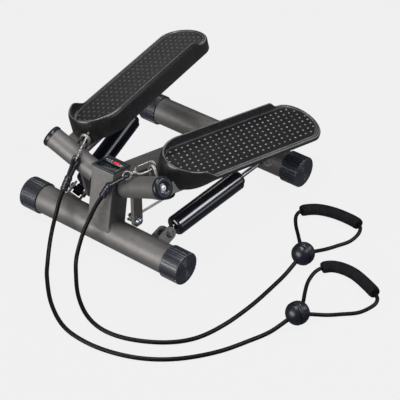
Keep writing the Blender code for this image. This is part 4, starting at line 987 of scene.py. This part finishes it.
def axle_bolt(side):
    """Domed bolt head with a cross recess, drawn as two near-black slots on the dome: painted shade.
    """
    word = WORDS[side]
    place = sleeve_frame(side) @ outward(side)
    profile = offsets(0, SHOULDER, (0, 4.4), (2.4, 4.3), (4.2, 3.7), (5.0, 2.8), (5.4, 1.6),
                      (5.4, 0), (3.7, 0), (3.7, -11), (0, -11))
    head = lathe("axle_bolt_head_" + word, profile, place, steps=40)
    dress(head, ZINC_WITH_PAINTED_GLINT, "frame", "axle_bolt_" + word, slot="zinc")
    for turn, tag in ((0.3, "a"), (0.3 + math.pi / 2, "b")):
        recess = soft_box("axle_bolt_slot_" + tag + "_" + word, (4.0 * MM, 0.8 * MM, 1.2 * MM),
                          place @ at((0, 0, SHOULDER + 3.95 * MM), (0, 0, turn)), 0.2 * MM, 1)
        dress(recess, RECESS_PAINTED_SHADE, "frame")


# --- lever bolts, cable and pulley ------------------------------------------------

LEVER_BOLT = Vector((55.0, 17.2, 62.5)) * MM
LEVER_THICK = 6.6 * MM
CABLE_R, COVER_R, CRIMP_R, CRIMP_LENGTH = mm(1.75, 2.3, 2.9, 13.0)
STRAND_R, STRAND_PITCH_R, STRAND_LAY = mm(0.64, 1.08, 11.0)
CABLE_EYE_X, CABLE_EYE_R, EYE_TO_CABLE = mm(44.5, 5.5, 6.2)
SHEAVE_GAP = 17.0 * MM
PULLEY_Y, PULLEY_R, PULLEY_PITCH = mm(136.0, 33.0, 29.5)
PULLEY_THICK, PULLEY_BORE = mm(12.0, 6.3)
BEAM_SLOPE = math.radians(15.6)


def lever_frame(side):
    upright = sleeve_local(RIGHT, ARM_LOW).inverted() @ Matrix.Translation(LEVER_BOLT)
    return sleeve_frame(side) @ mirrored(upright, side)


def pulley_local():
    drop = (PULLEY_Y - LEVER_BOLT.y) * math.tan(BEAM_SLOPE)
    return at((0, PULLEY_Y, LEVER_BOLT.z - drop), (-BEAM_SLOPE, 0, 0))


def cable_eye(side):
    point = sleeve_local(RIGHT, ARM_LOW).inverted() @ LEVER_BOLT
    spot = sleeve_local(RIGHT, ARM_ANGLE[side]) @ point
    spot.x = side * (spot.x - (LEVER_BOLT.x - CABLE_EYE_X))
    return pulley_local().inverted() @ spot


def tangent_point(side):
    eye = cable_eye(side)
    reach = math.hypot(eye.x, eye.y)
    angle = math.atan2(eye.y, eye.x * side) + math.acos(PULLEY_PITCH / reach)
    return Vector((side * PULLEY_PITCH * math.cos(angle), PULLEY_PITCH * math.sin(angle), 0))


def wire_rope(name, points):
    """Six strands laid round a core."""
    rows = frames_along(points)
    run = [0.0]
    for p, q in zip(points, points[1:]):
        run.append(run[-1] + (q - p).length)
    wires = []
    for start in turns(6):
        line = []
        for (point, side, up), distance in zip(rows, run):
            angle = start + 2 * math.pi * distance / STRAND_LAY
            line.append(point + side * (STRAND_PITCH_R * math.cos(angle))
                        + up * (STRAND_PITCH_R * math.sin(angle)))
        wires.append(tube(name + "_strand", line, STRAND_R, sides=7))
    wires.append(tube(name + "_core", points, 0.7 * MM, sides=7))
    return smooth(join(name, *wires), 60)


def cable_run(side):
    """Wire rope from the lever to the pulley, with its eye, crimp and plastic cover."""
    word = WORDS[side]
    body = pedal_body(side)
    eye, end = cable_eye(side), tangent_point(side)
    along = (end - eye).normalized()
    place = MACHINE @ pulley_local()
    start, stop = place @ (eye + along * EYE_TO_CABLE), place @ (end - along * 0.15 * MM)
    ahead = (stop - start).normalized()
    points = straight(start, stop, max(8, round((stop - start).length / (1.1 * MM))))
    cable = wire_rope("wire_rope_" + word, points)
    dress(cable, CABLE, None, "cable_run_" + word, slot="steel_cable")
    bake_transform(cable)
    crimp_end = start + ahead * CRIMP_LENGTH
    crimp = tube("cable_crimp_" + word, straight(start, crimp_end, 12),
                 lambda t: CRIMP_R - 0.45 * MM * (0.5 + 0.5 * math.cos(6 * math.pi * t)), sides=20)
    dress(crimp, NICKEL, body)
    cover_end = stop - ahead * SHEAVE_GAP
    cover = tube("cable_cover_" + word, straight(crimp_end, cover_end, 24), COVER_R)
    dress(cover, SLEEVING, None)
    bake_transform(cover)
    axis = place.to_3x3() @ Vector((1, 0, 0))
    ahead = (ahead - axis * ahead.dot(axis)).normalized()
    ring = wire_ring("cable_eye_" + word, axes(place @ eye, ahead, axis.cross(ahead)), CABLE_EYE_R,
                     1.25 * MM, sides=10, steps=32)
    dress(ring, NICKEL, body)


def cable_wrap():
    start, stop = (math.atan2(point.y, point.x) for point in map(tangent_point, WORDS))
    place = MACHINE @ pulley_local()
    points = [place @ Vector((x, y, 0)) for x, y in
              arc((0, 0), PULLEY_PITCH, start + 0.01, stop % (2 * math.pi) - 0.01, 90)]
    wrap = wire_rope("wire_rope_wrap", points)
    dress(wrap, CABLE, "frame", "cable_wrap", slot="steel_cable")


def pulley():
    """Grooved wheel with a recessed web on both faces."""
    half = PULLEY_THICK / 2
    root = PULLEY_PITCH - CABLE_R - 0.3 * MM
    profile = offsets(PULLEY_R, half, (-0.6, 0), (0, -0.6), (0, -1.5))
    for k in range(9):
        angle = math.pi / 2 - math.pi * k / 8
        profile.append((root + CABLE_R * (1 - math.cos(angle)), 2.1 * MM * math.sin(angle)))
    profile += offsets(PULLEY_R, -half, (0, 1.5), (0, 0.6), (-0.6, 0), (-9, 0), (-10, 1.5))
    profile += offsets(0, -half, (14, 1.5), (13, 0))
    profile += [(PULLEY_BORE, -half), (PULLEY_BORE, half)]
    profile += offsets(0, half, (13, 0), (14, -1.5))
    profile += offsets(PULLEY_R, half, (-10, -1.5), (-9, 0))
    piece = lathe("pulley_sheave", profile, MACHINE @ pulley_local(), steps=80)
    dress(piece, SLATE, "pulley", "pulley_wheel", slot="dark_plastic")


def lever_bolt(side):
    """Domed head, washer, shank and the flanged end that carries the cable's eye."""
    word = WORDS[side]
    outer = LEVER_THICK / 2 + 0.3 * MM
    inner = LEVER_BOLT.x - CABLE_EYE_X
    profile = offsets(0, outer, (0, 6.0), (2.2, 5.9), (4.2, 5.3), (5.6, 4.2), (6.3, 2.4),
                      (6.3, 1.5), (8.3, 1.4), (8.5, 0.2), (4.0, 0))
    profile += offsets(0, -outer, (4.0, 0), (8.5, 0), (8.5, -1.6), (4.0, -1.6))
    profile += offsets(0, -inner, (4.0, -3.0), (7.0, -3.0), (7.0, -5.4), (6.2, -6.0), (0, -6.0))
    piece = lathe("lever_bolt_turned_" + word, profile, lever_frame(side) @ outward(side), steps=40)
    dress(piece, ZINC, pedal_body(side), "lever_bolt_" + word, slot="zinc")


# --- dampers ----------------------------------------------------------------------

DAMPER_FOOT = Vector((95.7, 41.6, 39.7)) * MM
DAMPER_HEAD = Vector((-1.7, 261.5, -29.7)) * MM
DAMPER_R, DAMPER_START, DAMPER_LENGTH = mm(17.5, 17.0, 155.0)
DAMPER_TOP = DAMPER_START + DAMPER_LENGTH
ROD_R, ROD_INSIDE = mm(4.0, 60.0)


def damper_head(angle):
    return sleeve_local(RIGHT, angle) @ DAMPER_HEAD


def damper_axis():
    low = damper_head(ARM_LOW) - DAMPER_FOOT
    high = damper_head(ARM_HIGH) - DAMPER_FOOT
    return low.cross(high).normalized()


def damper_frame(side):
    reach = damper_head(ARM_ANGLE[side]) - DAMPER_FOOT
    return MACHINE @ mirrored(axes(DAMPER_FOOT, damper_axis(), reach), side)


def damper_reach(side):
    return (damper_head(ARM_ANGLE[side]) - DAMPER_FOOT).length


def damper_eye(side, reach, bore, face, rim):
    """Short tube across the damper at a distance from its foot. Radii are in millimetres."""
    profile = offsets(0, 0, (bore, -7), (face, -7), (rim, -6.4), (rim, 6.4), (face, 7), (bore, 7))
    place = damper_frame(side) @ at((0, reach, 0), (0, math.pi / 2, 0))
    return lathe("damper_eye_piece", profile, place, steps=40)


def damper_cylinder(side):
    """Rolled-edge cylinder with a wiper cap, a rod seal and an eye on its foot."""
    word = WORDS[side]
    start, top = DAMPER_START, DAMPER_TOP
    bore, floor = ROD_R + 0.3 * MM, top - ROD_INSIDE - 12 * MM
    roll, round_foot = 2.2 * MM, 6.0 * MM
    profile = [(0, floor), (bore, floor), (bore, top - 0.3 * MM), (bore + 0.3 * MM, top)]
    profile += offsets(0, top, (10.6, 0), (12.2, -0.6), (12.9, -1.8), (13.0, -4.4), (12.4, -5.2),
                       (12.6, -5.9), (14.6, -6.1))
    profile += arc((DAMPER_R - roll, top - 8.6 * MM), roll, math.pi / 2, 0, 6)[1:]
    profile += arc((DAMPER_R - round_foot, start + round_foot), round_foot, 0, -math.pi / 2, 10)[:-1]
    profile += [(DAMPER_R - 6.6 * MM, start), *offsets(0, start, (7.4, -0.2), (6.3, -1.4))]
    profile += offsets(0, 0, (6.0, 6.2), (0, 6.2))
    cylinder = lathe("damper_body_piece", profile, damper_frame(side) @ Z_TO_Y, steps=88, angle=40)
    piece = join("damper_" + word, cylinder, damper_eye(side, 0, 4.3, 8.4, 9.0))
    dress(smooth(piece, 40), GLOSS[side], word + "_damper_body", "damper_cylinder_" + word,
          slot="gloss_black")


def damper_rod(side):
    """Plain rod with a collar and the upper eye."""
    word = WORDS[side]
    reach = damper_reach(side)
    low = DAMPER_TOP - ROD_INSIDE + (reach - damper_reach(RIGHT))
    profile = [(0, low), (3.2 * MM, low), (ROD_R, low + 0.8 * MM), (ROD_R, reach - 12 * MM)]
    profile += offsets(0, reach, (5.4, -11.4), (5.4, -7.2), (0, -7.0))
    bar = lathe("rod_piece", profile, damper_frame(side) @ Z_TO_Y, steps=40)
    piece = join("rod_" + word, bar, damper_eye(side, reach, 4.6, 6.7, 7.2))
    dress(smooth(piece, 40), CHROME, word + "_damper_rod", "damper_rod_" + word, slot="chrome")


# --- band hardware ----------------------------------------------------------------

ARM_TOP = -0.5 * MM
EYE_WIRE, EYE_HALF = mm(2.6, 7.5)
EYE_PLACE = Vector((4.0, 22.5, 30.0)) * MM
HOOK_WIRE, HOOK_REACH, RING_R, RING_WIRE = mm(2.1, 42.0, 6.5, 1.6)
HOOK_LINE = (
    (-6.4, 18.2, 0), (-3.5, 15.8, 0), (1.0, 15.0, 0), (5.4, 18.5, 0), (7.2, 27.0, 0),
    (6.8, 37.0, 0), (5.0, 45.2, 0), (0.2, 48.2, 0), (-5.2, 45.4, 0), (-6.9, 40.2, 0))
GATE_LINE = ((-6.4, 21.0, 0), (-6.6, 25.5, 0), (-6.7, 30.0, 0), (-6.8, 34.6, 0), (-6.9, 39.2, 0))
FERRULE_R, FERRULE_LENGTH, STRAP_R = mm(6.5, 28.0, 3.3)
HOOK_RING = {
    RIGHT: Vector((38.0, -4.0, 152.0)) * MM,
    LEFT: Vector((-50.5, -6.5, 152.0)) * MM,
}


def hook_eye(side):
    """Bent-wire staple on the arm."""
    word = WORDS[side]
    foot = ARM_TOP + 0.1 * MM
    bend = EYE_PLACE.z - EYE_HALF
    outline = [(EYE_HALF, foot + (bend - foot) * k / 5) for k in range(5)]
    outline += arc((0, bend), EYE_HALF, 0, math.pi, 24)
    outline += [(-EYE_HALF, bend - (bend - foot) * k / 5) for k in range(1, 6)]
    points = [sleeve_frame(side) @ Vector((side * (EYE_PLACE.x + x), EYE_PLACE.y, z))
              for x, z in outline]
    piece = tube("staple_" + word, points, EYE_WIRE)
    dress(piece, NICKEL, pedal_body(side), "hook_eye_" + word, slot="nickel")


def hook_frame(side):
    """Origin in the ring, Y towards the staple, the wire in the XY plane."""
    local = sleeve_local(side, ARM_ANGLE[side])
    bow = local @ Vector((EYE_PLACE.x * side, EYE_PLACE.y, EYE_PLACE.z))
    along = (bow - HOOK_RING[side]).normalized()
    across = local.to_3x3() @ Vector((0, 0, 1))
    return MACHINE @ axes(bow - along * HOOK_REACH, across.cross(along).cross(along), along)


def snap_hook(side):
    """Bent-wire hook on a turned swivel with a round ring, and its spring gate."""
    word = WORDS[side]
    place = hook_frame(side)
    line = spline([Vector(p) * MM for p in HOOK_LINE], 1.0 * MM)
    wire = tube("hook_wire", [place @ p for p in line], HOOK_WIRE, sides=14)
    swivel = offsets(0, 0, (0, 5.4), (2.4, 5.4), (3.3, 6.2), (3.3, 8.6), (2.6, 9.2), (2.6, 10.2),
                     (3.4, 10.8), (3.4, 14.4), (2.4, 15.4), (0, 15.4))
    barrel = lathe("hook_barrel", swivel, place @ Z_TO_Y, steps=28)
    ring = wire_ring("hook_ring", place, RING_R, RING_WIRE, sides=12, steps=40)
    piece = smooth(join("snap_hook_wire_" + word, wire, barrel, ring), 50)
    dress(piece, NICKEL, pedal_body(side), "snap_hook_" + word, slot="nickel")
    gate = [place @ (Vector(p) * MM) for p in GATE_LINE]
    latch = tube("gate_" + word, gate, 1.5 * MM, sides=12)
    dress(latch, NICKEL, word + "_gate", "snap_gate_" + word, slot="nickel")


def ferrule_place(side):
    mouth, after = (Vector(p) * MM for p in BAND_ROUTE[side][:2])
    return MACHINE @ axes(mouth, (mouth - after).normalized(), (0, 1, 0)) @ Z_TO_X


def ferrule_strap(side, top):
    """Rubber loop from the ferrule's top through the hook's ring and back."""
    ring = hook_frame(side).translation
    along = (ring - top).normalized()
    across = hook_frame(side).to_3x3() @ Vector((0, 0, 1))
    across = (across - across.project(along)).normalized()
    # Half widths in millimetres, at shares of the way to the ring.
    half = [(1.6, 0.0), (2.3, 0.25), (3.0, 0.60), (4.4, 0.87)]
    rise = [top.lerp(ring, share) + across * wide * MM for wide, share in half]
    fall = [top.lerp(ring, share) - across * wide * MM for wide, share in reversed(half)]
    return tube("ferrule_loop", spline(rise + [ring] + fall, 1.4 * MM), STRAP_R, sides=14)


def ferrule(side):
    """Crimped ferrule over the band's end, with its moulded loop through the ring."""
    word = WORDS[side]
    place = ferrule_place(side)
    socket, floor = BAND_R + 0.3 * MM, 10.0 * MM
    profile = offsets(0, FERRULE_LENGTH, (0, 0), (4.3, 0), (5.2, -0.5))
    profile += offsets(FERRULE_R, 0, (0, 25.0), (0, 20.5), (-0.8, 19.7), (-0.8, 18.3), (0, 17.5),
                       (0, 8.5), (-0.8, 7.7), (-0.8, 6.3), (0, 5.5), (0, 1.8), (-0.5, 0.6),
                       (-1.4, 0))
    profile += [(socket, 0), (socket, floor), (0, floor)]
    body = lathe("ferrule_body", profile, place, steps=48)
    strap = ferrule_strap(side, place @ Vector((0, 0, FERRULE_LENGTH - 3 * MM)))
    piece = smooth(join("ferrule_" + word, body, strap), 40)
    return dress(piece, SLATE, pedal_body(side), "band_ferrule_" + word, slot="dark_plastic")


# --- monitor ----------------------------------------------------------------------

POST_LEAN, POST_TOP = math.radians(10.9), 119.5 * MM
POST_FOOT = at((0, 0, CAP_R), (-POST_LEAN, 0, 0))
MONITOR_TOP = 3.3 * MM
# The seven bars of a digit: place, width and height in millimetres.
DIGIT_BARS = (
    (0, 4.5, 3.6, 0.7), (0, 0, 3.6, 0.7), (0, -4.5, 3.6, 0.7), (-2.1, 2.2, 0.7, 3.8),
    (2.1, 2.2, 0.7, 3.8), (-2.1, -2.2, 0.7, 3.8), (2.1, -2.2, 0.7, 3.8))


def on_monitor(name, x, y, z, size, radius, segments, turn=0.0):
    """A rounded box on the display's top, all but the turn in millimetres."""
    top = MACHINE @ POST_FOOT @ Matrix.Translation((0, 0, POST_TOP))
    place = top @ at((x * MM, y * MM, MONITOR_TOP + z * MM), (0, 0, turn))
    return soft_box(name, [s * MM for s in size], place, radius * MM, segments)


def monitor():
    """Display window, red button, plain printed marks and blank digits."""
    screen = on_monitor("display", 0, -8, -0.5, (36, 20, 1.0), 0.25, 3)
    dress(screen, GLASS, "frame", "monitor_screen", slot="screen_glass")
    press = on_monitor("reset_button", 4, 8, -0.8, (12, 5.5, 4.0), 0.9, 4)
    dress(press, RED, "button", "monitor_button", slot="red_plastic")
    marks = [(-16.5 + 5.0 * k, 8.6, 1.5, 3.4, -0.35) for k in range(3)]
    marks += [(14.5, 8.0, 6.0, 1.7, 0.0), (2.0, 3.4, 32.0, 0.4, 0.0), (12.0, 5.0, 7.0, 0.7, -0.12)]
    marks += [(20.4, -15.0 + 2.6 * k, 1.6, 0.5, 0.0) for k in range(4)]
    printed = [on_monitor("mark", x, y, 0.03, (w, h, 0.10), 0.03, 1, turn)
               for x, y, w, h, turn in marks]
    dress(join("panel_marks", *printed), PRINT, "frame")
    digits = [on_monitor("segment", -12 + 8 * k + x, y - 8, 0.02, (w, h, 0.06), 0.01, 1)
              for k in range(4) for x, y, w, h in DIGIT_BARS]
    dress(join("display_segments", *digits), SEGMENT, "frame")


# --- welds ------------------------------------------------------------------------

POST_WELD_R, ARM_WELD_R = mm(1.6, 1.3)
POST_HALF_WIDTH, POST_HALF_DEPTH = mm(22.6, 21.75)


def weld(name, points, radius, body):
    """Rippled weld bead along a seam."""
    phase = random.Random(len(points)).uniform(0, 6.28)

    def girth(share):
        return radius * (1.0 + 0.16 * math.sin(share * len(points) * 1.9 + phase))
    return dress(tube(name, points, girth, sides=10), PAINT, body)


def post_seam(spots):
    """Points on the front tube's skin, from (x, y) in the frame of the leaning post."""
    return [MACHINE @ POST_FOOT @ Vector((x, y, math.sqrt(TUBE_R ** 2 - y ** 2))) for x, y in spots]


def arm_seam():
    """Seam of the arm tube on the sleeve: along its top edge and down both sides."""
    inner, outer = -7.0 * MM, 32.8 * MM
    low = ARM_TOP - 17.5 * MM
    sides = [low + (ARM_TOP - low) * k / 10 for k in range(11)]
    spots = [(inner, z) for z in sides]
    spots += [(inner + (outer - inner) * k / 20, ARM_TOP) for k in range(1, 21)]
    spots += [(outer, z) for z in sides[-2::-1]]
    return [(x, math.sqrt(SLEEVE_R ** 2 - z * z), z) for x, z in spots if abs(z) < SLEEVE_R]


def welds():
    for sign, tag in ((-1, "front"), (1, "back")):
        spots = [(POST_HALF_WIDTH * (k / 15 - 1), sign * POST_HALF_DEPTH) for k in range(31)]
        weld("weld_post_" + tag, post_seam(spots), POST_WELD_R, "frame")
    for side, word in WORDS.items():
        spots = [(side * 22.65 * MM, POST_HALF_DEPTH * (k / 20 - 1)) for k in range(41)]
        weld("weld_post_" + word, post_seam(spots), POST_WELD_R, "frame")
        seam = [sleeve_frame(side) @ Vector((side * x, y, z)) for x, y, z in arm_seam()]
        weld("weld_arm_" + word, seam, ARM_WELD_R, pedal_body(side))


# --- main -------------------------------------------------------------------------

def build_pieces():
    for end in HALF:
        stabiliser(end)
        for side in WORDS:
            end_cap(end, side)
    for side in WORDS:
        for piece in (tray, tray_dots, sleeve_piece, outer_bush, axle_bolt, lever_bolt, cable_run,
                      damper_cylinder, damper_rod, hook_eye, snap_hook):
            piece(side)
    cable_wrap()
    pulley()
    monitor()
    welds()


def paint_carried_nodes():
    """CAD nodes that stay visible get a worked finish and smooth shading."""
    slots = {part["node"]: part["material_slot"] for part in frame["record"]["subparts"]}
    for name, obj in frame["nodes"].items():
        if obj.hide_render:
            continue
        obj.data.materials.clear()
        obj.data.materials.append(PIN if "pin_" in name else SLOT_FINISH[slots[name]])
        smooth(obj, 32)


add_camera()
add_studio()
cords()
build_pieces()
paint_carried_nodes()
